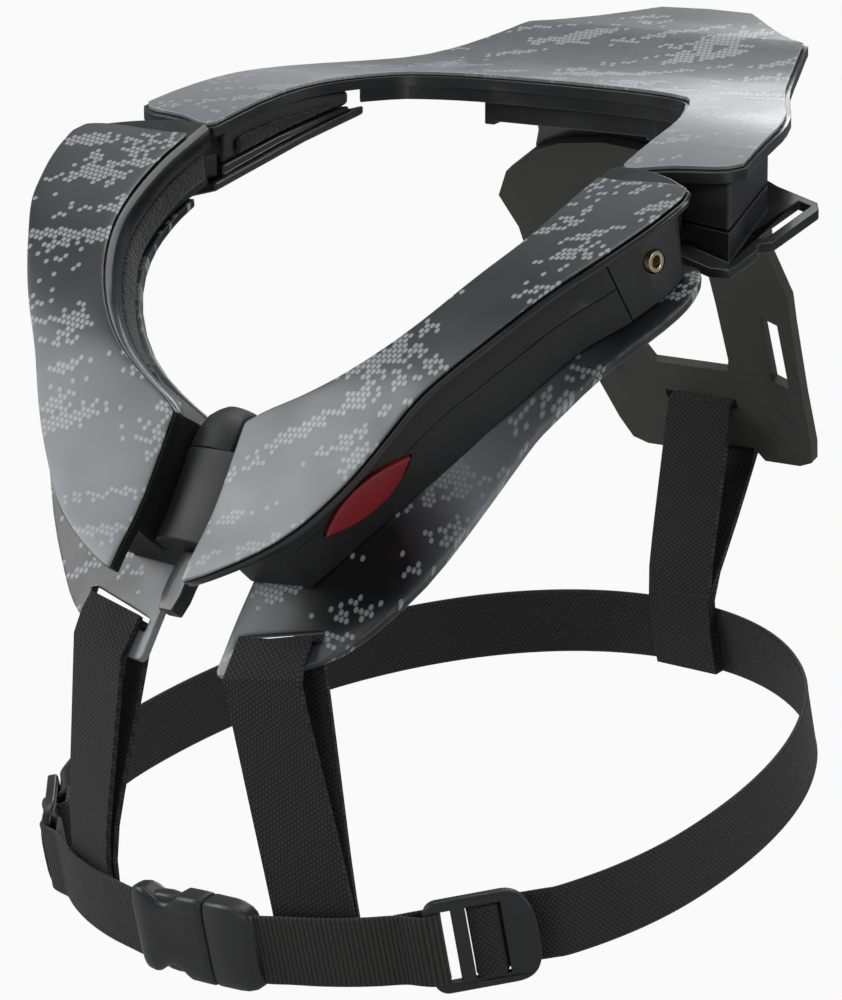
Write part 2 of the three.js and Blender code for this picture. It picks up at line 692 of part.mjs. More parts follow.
const frontEdge = (rows, key, share) => FRONT_HALF_WIDTH * between(rows, key, share);
const coverInner = (share) => Math.max(LATCH_HALF_GAP, frontEdge(COVER_SECTIONS, 'inner', share));
const coverOuter = (share) => frontEdge(BODY_SECTIONS, 'outer', share);
const plateInner = (share) => Math.max(LATCH_HALF_GAP, frontEdge(LOWER_SECTIONS, 'inner', share));
const plateOuter = (share) => frontEdge(LOWER_SECTIONS, 'outer', share);

// Depth of the lower plate's top face at one place
function plateDepth(share, x) {
  const inner = LOWER_DEPTH * between(LOWER_SECTIONS, 'innerDepth', share);
  const outer = LOWER_DEPTH * between(LOWER_SECTIONS, 'outerDepth', share);
  const across = (x - plateInner(share)) / (plateOuter(share) - plateInner(share));
  return THREE.MathUtils.lerp(inner, outer, across);
}

// Outer face of the core, which spreads towards the lower plate but not at the latch
function coreOuter(share, depth) {
  const spread = 1 - THREE.MathUtils.smoothstep(share, 0.5, 0.8);
  const heel = THREE.MathUtils.smoothstep(share, -0.05, 0.1);
  const flare = CORE_FLARE * spread * heel * Math.max(0, plateOuter(share) - coverOuter(share));
  return coverOuter(share) - CORE_INSET * (2 - spread) + (flare * depth) / LOWER_DEPTH;
}

// A body whose sections, at the shares given, are lists of across and depth
function frontLoft(shares, section) {
  return loft(shares.map((share) => section(share).map(([x, depth]) => frontPoint(share, x, depth))));
}

function sharesBetween(from, to, steps) {
  return Array.from({ length: steps + 1 }, (_, i) => THREE.MathUtils.lerp(from, to, i / steps));
}

// The body's own sections between two shares, with both ends
function bodyShares(from, to) {
  const inside = BODY_SECTIONS.map((row) => row.along).filter((share) => share > from && share < to);
  return [from, ...inside, to];
}

function frontPrint() {
  return frontLoft(COVER_SECTIONS.map((row) => row.along), (share) => {
    const inner = coverInner(share);
    const outer = frontEdge(COVER_SECTIONS, 'outer', share);
    return [[inner, 0], [outer, 0], [outer, PRINT_WALL], [inner, PRINT_WALL]];
  });
}

// How much of the inner roll there is: none beside the latch
function rollShare(share) {
  return THREE.MathUtils.smoothstep(coverInner(share), LATCH_HALF_GAP + 0.5, LATCH_HALF_GAP * 1.6);
}

// Shell under the printed cover, rolled down along the neck opening
function frontShell() {
  const top = PRINT_WALL + GAP;
  const low = top + SHELL_WALL;
  const rows = BODY_SECTIONS.map((row) => row.along);
  return frontLoft(rows, (share) => {
    const inner = coverInner(share);
    const outer = coverOuter(share);
    const roll = rollShare(share);
    const out = roll * SHELL_LIP;
    const drop = THREE.MathUtils.lerp(low + 0.2, FRONT_ROLL, roll);
    return [
      [inner - 0.3 * out, top], [inner - 1.6 * out, top + 1.6], [inner - 1.9 * out, low],
      [inner - 1.6 * out, drop], [inner + 1, drop], [inner + 1.6, low],
      [outer - 0.6, low], [outer + SHELL_LIP, low - 1.2], [outer + SHELL_LIP, top + 1], [outer + 0.6, top],
    ];
  });
}

// Section of the core: it starts under the roll on the neck side
function coreSection(share, top, low) {
  const inner = coverInner(share) + 0.4;
  const roll = rollShare(share);
  const innerTop = THREE.MathUtils.lerp(top + 0.2, Math.max(top + 0.2, FRONT_ROLL + GAP), roll);
  const edge = (depth) => Math.max(inner + 3, coreOuter(share, depth));
  return [
    [inner, innerTop], [inner + 2.2, innerTop - (innerTop - top) * (1 - roll)],
    [inner + 2.6, top], [edge(top), top],
    [edge(low(edge(top))), low(edge(top))], [inner, low(inner)],
  ];
}

// Upper and lower mouldings of the core, in front of the hinge block
const coreShares = bodyShares((HINGE_END + GAP) / frontLength, CORE_END / frontLength);
const coreTop = PRINT_WALL + SHELL_WALL + 2 * GAP;

function coreUpper() {
  return frontLoft(coreShares, (share) => coreSection(share, coreTop, () => SEAM_DEPTH));
}

function coreLower() {
  return frontLoft(coreShares, (share) => {
    const section = coreSection(share, SEAM_DEPTH + GAP, (x) => plateDepth(share, x) - 2 * GAP);
    return [[section[0][0], SEAM_DEPTH + GAP], ...section.slice(3)];
  });
}

// Block at the rear end of each front half, bored for its pin
function hingeBlock() {
  const last = (HINGE_END - GAP) / frontLength;
  const shares = bodyShares(HEEL_SECTIONS[0].along, last);
  const body = frontLoft(shares, (share) => {
    const low = (x) => plateDepth(share, x) - 2 * GAP;
    return coreSection(share, coreTop, low);
  });
  return cut(body, pinCylinder(PIN_RADIUS + GAP, PIN_LENGTH + GAP, 20));
}

// A cylinder across X, its outer end just outside the core
function pinCylinder(radius, depth, outside) {
  const share = PIN_PLACE / frontLength;
  const face = coreOuter(share, PIN_DEPTH);
  const place = frontPoint(share, face, PIN_DEPTH);
  const cylinder = new THREE.CylinderGeometry(radius, radius, depth + outside, 20).rotateZ(Math.PI / 2);
  return cylinder.translate(place.x + (outside - depth) / 2, place.y, place.z);
}

function hingePin() {
  const body = pinCylinder(PIN_RADIUS, PIN_LENGTH, 1);
  return cut(body, pinCylinder(PIN_BORE, PIN_LENGTH - 2, 5));
}

// Pad along the neck side of each front half
function frontPad() {
  const shares = bodyShares(PAD_START / frontLength, PAD_END / frontLength);
  return frontLoft(shares, (share) => {
    const back = coverInner(share) + 0.4 - 1.5 * GAP;
    const face = back - PAD_THICKNESS;
    const top = FRONT_ROLL + GAP + 0.2;
    const low = Math.min(PAD_DEPTH, plateDepth(share, back) - GAP - 1);
    return [[back, top], [face + 0.8, top], [face, top + 1], [face, low - 1], [face + 0.8, low], [back, low]];
  });
}

// Lower plate of each front half, with the slot for its strap
function frontBasePlate() {
  const rows = LOWER_SECTIONS.map((row) => row.along);
  const body = frontLoft(rows, (share) => {
    const inner = plateInner(share);
    const outer = plateOuter(share);
    const top = plateDepth(share, inner);
    const topOut = plateDepth(share, outer);
    return [[inner, top], [outer, topOut], [outer, topOut + PLATE_WALL], [inner, top + PLATE_WALL]];
  });
  return cut(body, frontSlot());
}

// Path share of the slot's middle at one distance from the middle plane
const slotShare = (x) => (SLOT_PLACE - SLOT_SLANT * (x - SLOT_INNER)) / frontLength;

function frontSlot() {
  const half = SLOT_WIDTH / 2 / frontLength;
  const reach = 3 * PLATE_WALL;
  return loft([SLOT_INNER, SLOT_INNER + SLOT_LENGTH].map((x) => {
    const share = slotShare(x);
    const depth = plateDepth(share, x);
    return [[-half, -reach], [half, -reach], [half, reach], [-half, reach]]
      .map(([along, deep]) => frontPoint(share + along, x, depth + deep));
  }));
}

// Frame on the outer face of the left core, where the button sits
function buttonFrame() {
  const half = BUTTON_LENGTH / 2;
  const at = (along, depth) => {
    const share = (BUTTON_PLACE + along) / frontLength;
    return frontPoint(share, coreOuter(share, depth), depth);
  };
  const origin = at(0, BUTTON_DEPTH);
  const rear = at(-half, BUTTON_DEPTH - BUTTON_SKEW);
  const front = at(half, BUTTON_DEPTH + BUTTON_SKEW);
  const along = new THREE.Vector3().subVectors(front, rear).normalize();
  const down = at(0, BUTTON_DEPTH + 3).sub(at(0, BUTTON_DEPTH - 3));
  const out = new THREE.Vector3().crossVectors(along, down).normalize();
  if (out.x < 0) out.negate();
  const across = new THREE.Vector3().crossVectors(out, along).normalize();
  return new THREE.Matrix4().makeBasis(along, across, out).setPosition(origin);
}

// Lens outline with pointed ends
function lensOutline(length, height) {
  const bow = new THREE.QuadraticBezierCurve(
    new THREE.Vector2(-length / 2, 0), new THREE.Vector2(0, height), new THREE.Vector2(length / 2, 0));
  const upper = bow.getPoints(10);
  const lower = upper.slice(1, -1).map((p) => new THREE.Vector2(p.x, -p.y)).reverse();
  return [...upper, ...lower];
}

function buttonBody(grow, low, high) {
  const outline = offsetOutline(lensOutline(BUTTON_LENGTH, BUTTON_HEIGHT), grow);
  return prism(outline, low, high).applyMatrix4(buttonFrame());
}

const releaseButton = () => buttonBody(0, -BUTTON_THICKNESS + BUTTON_TRAVEL + GAP, BUTTON_PROUD);
const buttonPocket = () => buttonBody(GAP * 1.5, -BUTTON_THICKNESS, 20);

// Latch between the halves
function latchPoint(share, x, depth) {
  const p = frontPoint(share, x, depth);
  return new THREE.Vector3(x, p.y, p.z - OUTWARD_RISE * x);
}

// Half-round section, crowned in the middle
function latchSection(share, crown, half, middle = 0) {
  const top = [-90, -60, -30, 0, 30, 60, 90].map((degrees) => {
    const angle = THREE.MathUtils.degToRad(degrees);
    return latchPoint(share, middle + half * Math.sin(angle), crown + LATCH_CROWN * (1 - Math.cos(angle)));
  });
  return [...top, latchPoint(share, middle + half, LATCH_BODY), latchPoint(share, middle - half, LATCH_BODY)];
}

const latchHalf = LATCH_HALF_GAP - GAP;

function latchCover() {
  const shares = sharesBetween(LATCH_SPLIT / frontLength, LATCH_END / frontLength, 6);
  return loft(shares.map((share) => latchSection(share, LATCH_DEPTH, latchHalf)));
}

// Domed head above the cover
function latchHead() {
  const steps = 6;
  const shares = sharesBetween(LATCH_START / frontLength, (LATCH_SPLIT - GAP) / frontLength, steps);
  return loft(shares.map((share, i) => {
    const shrink = 1 - Math.sqrt(1 - ((1 - i / steps) * 0.96) ** 2);
    const half = HEAD_HALF_WIDTH * (1 - 0.6 * shrink);
    return latchSection(share, LATCH_DEPTH + 1 + (LATCH_BODY - LATCH_DEPTH) * 0.7 * shrink, half, HEAD_ASIDE);
  }));
}

function latchKnob() {
  const share = (LATCH_SPLIT - KNOB_RADIUS) / frontLength;
  const place = latchPoint(share, KNOB_ASIDE, LATCH_BODY + GAP + KNOB_LENGTH / 2);
  const { depth } = frontFrame(share);
  const axis = new THREE.Vector3(0, depth.x, depth.y);
  const turn = new THREE.Quaternion().setFromUnitVectors(new THREE.Vector3(0, 1, 0), axis);
  const knob = new THREE.CylinderGeometry(KNOB_RADIUS, KNOB_RADIUS, KNOB_LENGTH, 16);
  return knob.applyQuaternion(turn).translate(place.x, place.y, place.z);
}

function latchBar() {
  const steps = 4;
  const shares = sharesBetween((LATCH_END + GAP) / frontLength, LATCH_BAR_END / frontLength, steps);
  return loft(shares.map((share, i) => {
    const half = (LATCH_BAR_WIDTH / 2) * (i === steps ? 0.7 : 1);
    const top = LATCH_BODY - LATCH_BAR_WALL;
    return [[-half, top], [half, top], [half, LATCH_BODY], [-half, LATCH_BODY]]
      .map(([x, depth]) => latchPoint(share, x, depth));
  }));
}

// Back plate: outlines drawn on a plane that leans back
function backFrame(lift) {
  const down = new THREE.Vector3(0, BACK_LEAN, -1).normalize();
  const out = new THREE.Vector3(0, 1, BACK_LEAN).normalize();
  const top = new THREE.Vector3(0, BACK_PLACE - BACK_LEAN * BACK_TOP, BACK_TOP).addScaledVector(out, lift);
  const across = new THREE.Vector3(1, 0, 0);
  return new THREE.Matrix4().makeBasis(across, down.negate(), out.clone().negate()).setPosition(top);
}

const backLength = (BACK_TOP - BACK_BOTTOM) * Math.hypot(1, BACK_LEAN);

function backOutline(rows, side) {
  return rows.map((row) => new THREE.Vector2(side * row.out * BACK_HALF_WIDTH, -row.down * backLength));
}

function wholeOutline(rows) {
  const right = backOutline(rows, -1).reverse().filter((p) => p.x < -1e-6);
  return [...backOutline(rows, 1), ...right];
}

// A slab from the wearer side of the plate to the given depth behind it
function backSlab(outline, near, far) {
  return prism(outline, -far, -near).applyMatrix4(backFrame(0));
}

const slotDown = ((BACK_TOP - BACK_SLOT_PLACE) / (BACK_TOP - BACK_BOTTOM)) * backLength;

function backPlate() {
  const through = [-BACK_WALL * 4, BACK_WALL * 4];
  const half = BACK_SLOT_LENGTH / 2;
  const middle = -slotDown;
  const slot = rectangle(-half, middle - BACK_SLOT_HEIGHT / 2, half, middle + BACK_SLOT_HEIGHT / 2);
  return cut(
    backSlab(wholeOutline(BACK_OUTLINE), 0, BACK_WALL),
    backSlab(wholeOutline(WINDOW_OUTLINE), ...through),
    backSlab(backOutline(WING_SLOT_OUTLINE, 1), ...through),
    backSlab(backOutline(WING_SLOT_OUTLINE, -1), ...through),
    backSlab(slot, ...through),
  );
}

function backTongue() {
  return backSlab(wholeOutline(TONGUE_OUTLINE), BACK_WALL + GAP, BACK_WALL + GAP + TONGUE_WALL);
}

function backScrew() {
  const head = new THREE.CylinderGeometry(SCREW_RADIUS, SCREW_RADIUS, SCREW_HEAD, 16).rotateX(Math.PI / 2);
  const down = ((BACK_TOP - SCREW_PLACE) / (BACK_TOP - BACK_BOTTOM)) * backLength;
  return head.translate(-SCREW_ASIDE, -down, SCREW_HEAD / 2 + GAP).applyMatrix4(backFrame(0));
}

// Housing under the table that takes the back plate's tongue
function backBracket() {
  const half = BRACKET_HALF_WIDTH;
  const place = BACK_PLACE - BACK_LEAN * BACK_TOP;
  const front = TABLE_INNER_CURVE[0].back * TABLE_REACH + ROLL_WALL + 2 * GAP;
  const outline = rectangle(-half, front, half, place + BRACKET_REACH);
  const foot = (x, y) => BACK_TOP - BRACKET_DEPTH + BRACKET_RISE * (y - front);
  const body = common(slopingSlab(outline, foot, () => TABLE_HEIGHT + TABLE_RISE), underTable(-half, half));
  const tongue = offsetOutline(wholeOutline(TONGUE_OUTLINE), GAP);
  const room = backSlab(tongue, BACK_WALL - 20, BACK_WALL + TONGUE_WALL + 2 * GAP);
  return cut(body, room);
}

// Harness webbing: a band along a line, with the direction of its width at each point
function ribbon(points, widths, width, thickness, closed) {
  const count = points.length;
  const rings = points.map((p, i) => {
    const before = points[closed ? (i + count - 1) % count : Math.max(0, i - 1)];
    const after = points[closed ? (i + 1) % count : Math.min(count - 1, i + 1)];
    const tangent = new THREE.Vector3().subVectors(after, before).normalize();
    const side = widths[i].clone().addScaledVector(tangent, -widths[i].dot(tangent)).normalize();
    const normal = new THREE.Vector3().crossVectors(tangent, side);
    return [[1, 1], [1, -1], [-1, -1], [-1, 1]].map(([w, n]) => p.clone()
      .addScaledVector(side, (w * width) / 2).addScaledVector(normal, (n * thickness) / 2));
  });
  return loft(rings, closed);
}

// Chest loop: a rounded ring on a plane that rises to the back
function chestPoint(turn) {
  const angle = turn * 2 * Math.PI;
  const power = 2 / CHEST_SQUARENESS;
  const round = (v) => Math.sign(v) * Math.abs(v) ** power;
  const reach = Math.sin(angle) < 0 ? CHEST_FRONT : CHEST_BACK;
  const y = reach * round(Math.sin(angle));
  return new THREE.Vector3(CHEST_HALF_WIDTH * round(Math.cos(angle)), y, CHEST_HEIGHT + CHEST_SLOPE * y);
}

const chestWidthAxis = new THREE.Vector3(0, -CHEST_SLOPE, 1).normalize();

const chestLength = sharesBetween(0, 1, 200).map(chestPoint)
  .reduce((sum, p, i, all) => (i ? sum + p.distanceTo(all[i - 1]) : 0), 0);

// Frame at a place on the loop: along the webbing, across its width, outwards
function chestFrame(turn, lift = 0) {
  const p = chestPoint(turn);
  const tangent = chestPoint(turn + 0.004).sub(chestPoint(turn - 0.004)).normalize();
  const out = new THREE.Vector3().crossVectors(tangent, chestWidthAxis).normalize();
  const frame = new THREE.Matrix4().makeBasis(tangent, chestWidthAxis, out);
  return frame.setPosition(p.addScaledVector(out, lift));
}

const chestPlace = (turn, lift) => new THREE.Vector3().setFromMatrixPosition(chestFrame(turn, lift));

// Webbing along the loop through the points given
function chestBand(points) {
  return ribbon(points, points.map(() => chestWidthAxis), CHEST_WIDTH, WEBBING_WALL, false);
}

function chestRun(from, to) {
  const steps = Math.ceil((Math.abs(to - from) * chestLength) / CHEST_STEP);
  return sharesBetween(from, to, steps).map((turn) => chestPoint(turn));
}

// Ladder lock, from its end bar to its thumb tab: bars across the webbing
const LOCK_BARS = [
  { from: -18, to: -15 },
  { from: -8, to: -5 },
  { from: -1, to: 4 },
  { from: 8, to: 18 },
];

// Webbing round the bars, as distance along and lift in webbing layers
const END_WRAP = [
  { bar: 0, side: 1, beyond: -8, lift: 0 },
  { bar: 0, side: 0, beyond: 0, lift: 1 },
  { bar: 0, side: 1, beyond: 0.6, lift: 0.95 },
  { bar: 0, side: 1, beyond: 2, lift: 0 },
  { bar: 0, side: 1, beyond: 0.6, lift: -0.95 },
  { bar: 0, side: 0, beyond: 0, lift: -1 },
  { bar: 0, side: 0, beyond: -9, lift: -1 },
];
const TAB_WRAP = [
  { bar: 3, side: 1, beyond: 4, lift: -0.9 },
  { bar: 3, side: 1, beyond: -3, lift: -1 },
  { bar: 2, side: 1, beyond: 3.4, lift: -0.95 },
  { bar: 2, side: 1, beyond: 2, lift: 0 },
  { bar: 2, side: 1, beyond: 0.3, lift: 0.95 },
  { bar: 2, side: 0, beyond: -0.3, lift: 0.95 },
  { bar: 2, side: 0, beyond: -2, lift: 0 },
  { bar: 2, side: 0, beyond: -1.6, lift: -1.4 },
  { bar: 2, side: 0, beyond: 1, lift: -1.75 },
  { bar: 3, side: 0, beyond: 3, lift: -1.75 },
];

// Points along a wrap at a lock that faces one way or the other
function wrapPoints(rows, turn, way) {
  const over = LOCK_WALL / 2 + GAP + WEBBING_WALL / 2;
  const frame = chestFrame(turn, LOCK_LIFT);
  return rows.map((row) => {
    const bar = LOCK_BARS[row.bar];
    const along = (row.side ? bar.to : bar.from) + row.beyond;
    return new THREE.Vector3(way * along, 0, row.lift * over).applyMatrix4(frame);
  });
}

function ladderLock(turn, way) {
  const height = CHEST_WIDTH + 2 * LOCK_MARGIN;
  const windowHalf = CHEST_WIDTH / 2 + 0.8;
  const first = LOCK_BARS[0];
  const last = LOCK_BARS[LOCK_BARS.length - 1];
  const outline = [
    new THREE.Vector2(first.from, -height / 2),
    new THREE.Vector2(last.to - LOCK_CORNER, -height / 2),
    new THREE.Vector2(last.to - 2, -height / 2 + LOCK_CORNER),
    new THREE.Vector2(last.to, 0),
    new THREE.Vector2(last.to - 2, height / 2 - LOCK_CORNER),
    new THREE.Vector2(last.to - LOCK_CORNER, height / 2),
    new THREE.Vector2(first.from, height / 2),
  ];
  const windows = LOCK_BARS.slice(1).map((bar, i) => prism(
    rectangle(LOCK_BARS[i].to, -windowHalf, bar.from, windowHalf), -2 * LOCK_WALL, 2 * LOCK_WALL));
  const plate = cut(prism(outline, -LOCK_WALL / 2, LOCK_WALL / 2), ...windows);
  const facing = way > 0 ? plate : plate.rotateZ(Math.PI);
  return facing.applyMatrix4(chestFrame(turn, LOCK_LIFT));
}

// Half of the side-release buckle, with a pocket for the webbing's end
function buckleHalf(from, to, way) {
  const height = CHEST_WIDTH + 2 * BUCKLE_MARGIN;
  const end = way > 0 ? to : from;
  const body = prism(rectangle(from, -height / 2, to, height / 2), -BUCKLE_WALL / 2, BUCKLE_WALL / 2);
  const room = WEBBING_WALL / 2 + 2 * GAP;
  const half = CHEST_WIDTH / 2 + GAP;
  const pocket = prism(rectangle(end - POCKET_DEPTH, -half, end + POCKET_DEPTH, half), -room, room);
  return cut(body, pocket).applyMatrix4(chestFrame(BUCKLE_TURN, BUCKLE_LIFT));
}

const buckleHalfLength = (SOCKET_LENGTH + PLUG_LENGTH) / 2;
const buckleJoint = SOCKET_LENGTH - buckleHalfLength;
const bucklePlug = () => buckleHalf(buckleJoint + GAP, buckleHalfLength, 1);
const buckleSocket = () => buckleHalf(-buckleHalfLength, buckleJoint, -1);

// Webbing's end in a pocket of the buckle, then the run along the loop
function buckleEnd(way) {
  const frame = chestFrame(BUCKLE_TURN, BUCKLE_LIFT);
  const inside = buckleHalfLength - POCKET_DEPTH + 2 * GAP;
  return [inside, buckleHalfLength + GAP].map((x) => new THREE.Vector3(way * x, 0, 0).applyMatrix4(frame));
}

// Turns from the middle of a stiff piece to where the webbing lies on the loop again
const clearOf = (halfLength) => (halfLength + 8) / chestLength;

function chestStrapNear() {
  const start = BUCKLE_TURN + clearOf(buckleHalfLength);
  const end = NEAR_LOCK_TURN - clearOf(-LOCK_BARS[0].from + 4);
  return chestBand([...buckleEnd(1), ...chestRun(start, end), ...wrapPoints(END_WRAP, NEAR_LOCK_TURN, 1)]);
}

function chestStrapFar() {
  const start = BUCKLE_TURN - clearOf(buckleHalfLength);
  const end = FAR_LOCK_TURN + clearOf(-LOCK_BARS[0].from + 4);
  return chestBand([...buckleEnd(-1), ...chestRun(start, end), ...wrapPoints(END_WRAP, FAR_LOCK_TURN, -1)]);
}

function chestStrapRear() {
  const near = wrapPoints(TAB_WRAP, NEAR_LOCK_TURN, 1).reverse();
  const far = wrapPoints(TAB_WRAP, FAR_LOCK_TURN, -1);
  const clear = clearOf(LOCK_BARS[3].to + 4);
  return chestBand([...near, ...chestRun(NEAR_LOCK_TURN + clear, 1 + FAR_LOCK_TURN - clear), ...far]);
}

// A strap through a slot: its outer layer over the bar below, its inner layer straight down,
// both sewn inside the chest loop at the foot
function hangingStrap(slot, turn) {
  const reach = slot.wall / 2 + STRAP_EASE + WEBBING_WALL / 2;
  const rest = slot.place.clone().addScaledVector(slot.down, slot.height / 2 - STRAP_EASE - WEBBING_WALL / 2);
  const from = (along, out) => rest.clone().addScaledVector(slot.down, along).addScaledVector(slot.out, out);
  const half = (WEBBING_WALL + GAP) / 2;
  const inside = -(1.5 * WEBBING_WALL + 2 * GAP + STRAP_SAG);
  const foot = (up, side) => chestPlace(turn, inside + side * half).addScaledVector(chestWidthAxis, up);
  const rise = CHEST_WIDTH / 2;
  const edge = from(slot.bar + WEBBING_WALL, reach);
  const start = from(WEBBING_WALL, -reach - GAP);
  const hang = (top, side, share) => top.clone().lerp(foot(rise + 4, side), share);
  const behind = (share) => hang(start, -1, share);
  const outer = [from(0, reach - 1), from(1.5, reach), edge, hang(edge, 1, 0.35), hang(edge, 1, 0.7)];
  const inner = [from(0, 1 - reach), start, behind(0.1), behind(0.35), behind(0.7)];
  const shares = [0, 0, 0.05, 0.35, 0.7, 1, 1];
  const across = new THREE.Vector3().setFromMatrixColumn(chestFrame(turn), 0);
  const widths = shares.map((share) => slot.across.clone().lerp(across, share));
  const points = [
    ...outer, foot(rise + 4, 1), foot(1 - rise, 1),
    foot(1 - rise, -1), foot(rise + 4, -1), ...inner.reverse(),
  ];
  return ribbon(points, [...widths, ...widths.slice().reverse()], STRAP_WIDTH, WEBBING_WALL, true);
}

function frontStrap(side) {
  const middle = SLOT_INNER + SLOT_LENGTH / 2;
  const at = (x, along, deep) => {
    const share = slotShare(x) + along / frontLength;
    return frontPoint(share, x, plateDepth(share, x) + PLATE_WALL / 2 + deep);
  };
  const place = at(middle, 0, 0);
  const across = at(middle + 5, 0, 0).sub(at(middle - 5, 0, 0)).normalize();
  const down = at(middle, 3, 0).sub(at(middle, -3, 0)).normalize();
  const out = new THREE.Vector3().crossVectors(across, down).normalize();
  if (out.y > 0) out.negate();
  const slot = { place, across, down, out };
  for (const v of Object.values(slot)) v.x *= side;
  slot.across.multiplyScalar(side);
  const sizes = { wall: PLATE_WALL, height: SLOT_WIDTH, bar: SLOT_BAR };
  return hangingStrap({ ...slot, ...sizes }, 0.75 + side * STRAP_TURN);
}

function rearStrap() {
  const frame = backFrame(0);
  const place = new THREE.Vector3(0, -slotDown, -BACK_WALL / 2).applyMatrix4(frame);
  const down = new THREE.Vector3(0, BACK_LEAN, -1).normalize();
  const out = new THREE.Vector3(0, 1, BACK_LEAN).normalize();
  const across = new THREE.Vector3(-1, 0, 0);
  const sizes = { wall: BACK_WALL, height: BACK_SLOT_HEIGHT, bar: BACK_BOTTOM_BAR };
  return hangingStrap({ place, across, down, out, ...sizes }, REAR_STRAP_TURN);
}

// All pieces
addPiece('rear_table_print', rearPrint(), 'print');
addPiece('rear_shell', rearShell(), 'shell');
addPiece('back_bracket', backBracket(), 'shell');
addPiece('back_tongue', backTongue(), 'shell');
addPiece('back_plate', backPlate(), 'back');

for (const [name, side] of Object.entries(SIDES)) {
  addPiece(`arm_block_${name}`, forSide(side, armBlock()), 'core');
  addPiece(`arm_pad_${name}`, forSide(side, armPad()), 'pad');
  addPiece(`arm_base_plate_${name}`, forSide(side, armBasePlate()), 'shell');
  addPiece(`hinge_link_${name}`, forSide(side, hingeLink()), 'core');
  addPiece(`hinge_block_${name}`, forSide(side, hingeBlock()), 'core');
  addPiece(`hinge_pin_${name}`, forSide(side, hingePin()), 'pin');
  addPiece(`front_print_${name}`, forSide(side, frontPrint()), 'print');
  addPiece(`front_shell_${name}`, forSide(side, frontShell()), 'shell');
  addPiece(`front_pad_${name}`, forSide(side, frontPad()), 'pad');
  addPiece(`front_base_plate_${name}`, forSide(side, frontBasePlate()), 'print');
  addPiece(`front_strap_${name}`, frontStrap(side), 'webbing');
}

addPiece('core_upper_right', forSide(-1, coreUpper()), 'core');
addPiece('core_lower_right', forSide(-1, coreLower()), 'core');
addPiece('core_upper_left', cut(coreUpper(), buttonPocket()), 'core');
addPiece('core_lower_left', cut(coreLower(), buttonPocket()), 'core');
addPiece('release_button', releaseButton(), 'button');

addPiece('latch_cover', latchCover(), 'core');
addPiece('latch_head', latchHead(), 'core');
addPiece('latch_knob', latchKnob(), 'hardware');
addPiece('latch_bar', latchBar(), 'shell');

addPiece('back_screw', backScrew(), 'pin');
addPiece('rear_strap', rearStrap(), 'webbing');
addPiece('chest_strap_near', chestStrapNear(), 'webbing');
addPiece('chest_strap_far', chestStrapFar(), 'webbing');
addPiece('chest_strap_rear', chestStrapRear(), 'webbing');
addPiece('ladder_lock_near', ladderLock(NEAR_LOCK_TURN, 1), 'hardware');
addPiece('ladder_lock_far', ladderLock(FAR_LOCK_TURN, -1), 'hardware');
addPiece('buckle_plug', bucklePlug(), 'hardware');
addPiece('buckle_socket', buckleSocket(), 'hardware');

export default brace;
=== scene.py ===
"""Motocross neck brace: fine meshes, finishes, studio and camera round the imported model.

Lengths are in metres unless a name says millimetres. +X is the wearer's left, -Y the wearer's front and +Z up,
with the origin in the middle of the neck opening.
"""
import json
import logging
import math
from dataclasses import dataclass, field
from enum import Enum

import bmesh
import bpy
import numpy as np
from mathutils import Matrix, Vector

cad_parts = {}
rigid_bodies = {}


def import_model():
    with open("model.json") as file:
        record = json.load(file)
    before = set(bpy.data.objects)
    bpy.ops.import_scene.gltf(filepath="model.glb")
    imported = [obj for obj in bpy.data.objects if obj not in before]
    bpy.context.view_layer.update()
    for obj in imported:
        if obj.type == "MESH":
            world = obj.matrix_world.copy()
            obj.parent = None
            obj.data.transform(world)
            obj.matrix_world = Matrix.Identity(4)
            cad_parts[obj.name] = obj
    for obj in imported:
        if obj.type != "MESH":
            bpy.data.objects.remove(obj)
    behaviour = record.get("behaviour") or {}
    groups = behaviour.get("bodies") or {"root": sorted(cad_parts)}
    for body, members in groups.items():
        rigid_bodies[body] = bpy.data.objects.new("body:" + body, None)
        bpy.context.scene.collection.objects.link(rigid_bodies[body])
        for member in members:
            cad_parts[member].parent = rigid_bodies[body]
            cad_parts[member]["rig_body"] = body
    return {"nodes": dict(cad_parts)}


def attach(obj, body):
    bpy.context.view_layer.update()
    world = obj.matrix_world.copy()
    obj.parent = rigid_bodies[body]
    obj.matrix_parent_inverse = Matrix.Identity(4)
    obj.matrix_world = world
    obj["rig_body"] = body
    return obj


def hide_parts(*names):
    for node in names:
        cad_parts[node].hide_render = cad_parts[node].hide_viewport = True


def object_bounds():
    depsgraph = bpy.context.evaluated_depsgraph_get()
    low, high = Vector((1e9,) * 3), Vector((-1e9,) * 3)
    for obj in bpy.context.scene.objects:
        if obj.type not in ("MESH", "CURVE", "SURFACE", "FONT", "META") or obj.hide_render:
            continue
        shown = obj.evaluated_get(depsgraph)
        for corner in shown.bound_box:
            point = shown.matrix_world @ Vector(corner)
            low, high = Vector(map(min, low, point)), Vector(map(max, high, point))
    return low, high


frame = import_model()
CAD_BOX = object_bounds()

LOG = logging.getLogger("neck_brace")
MM = 0.001
SIDES = ("left", "right")
Colour = tuple[float, float, float]


def grey(level: float, tint: Colour = (1.0, 1.0, 1.0)) -> Colour:
    """Turns a display grey into a linear colour.

    Args:
        level: The display value, from 0 to 255.
        tint: Factors on red, green and blue.

    Returns:
        The linear colour.
    """
    share = level / 255
    linear = share / 12.92 if share <= 0.04045 else ((share + 0.055) / 1.055) ** 2.4
    return (linear * tint[0], linear * tint[1], linear * tint[2])


COOL = (0.97, 1.0, 1.06)
WARM = (1.05, 1.0, 0.9)


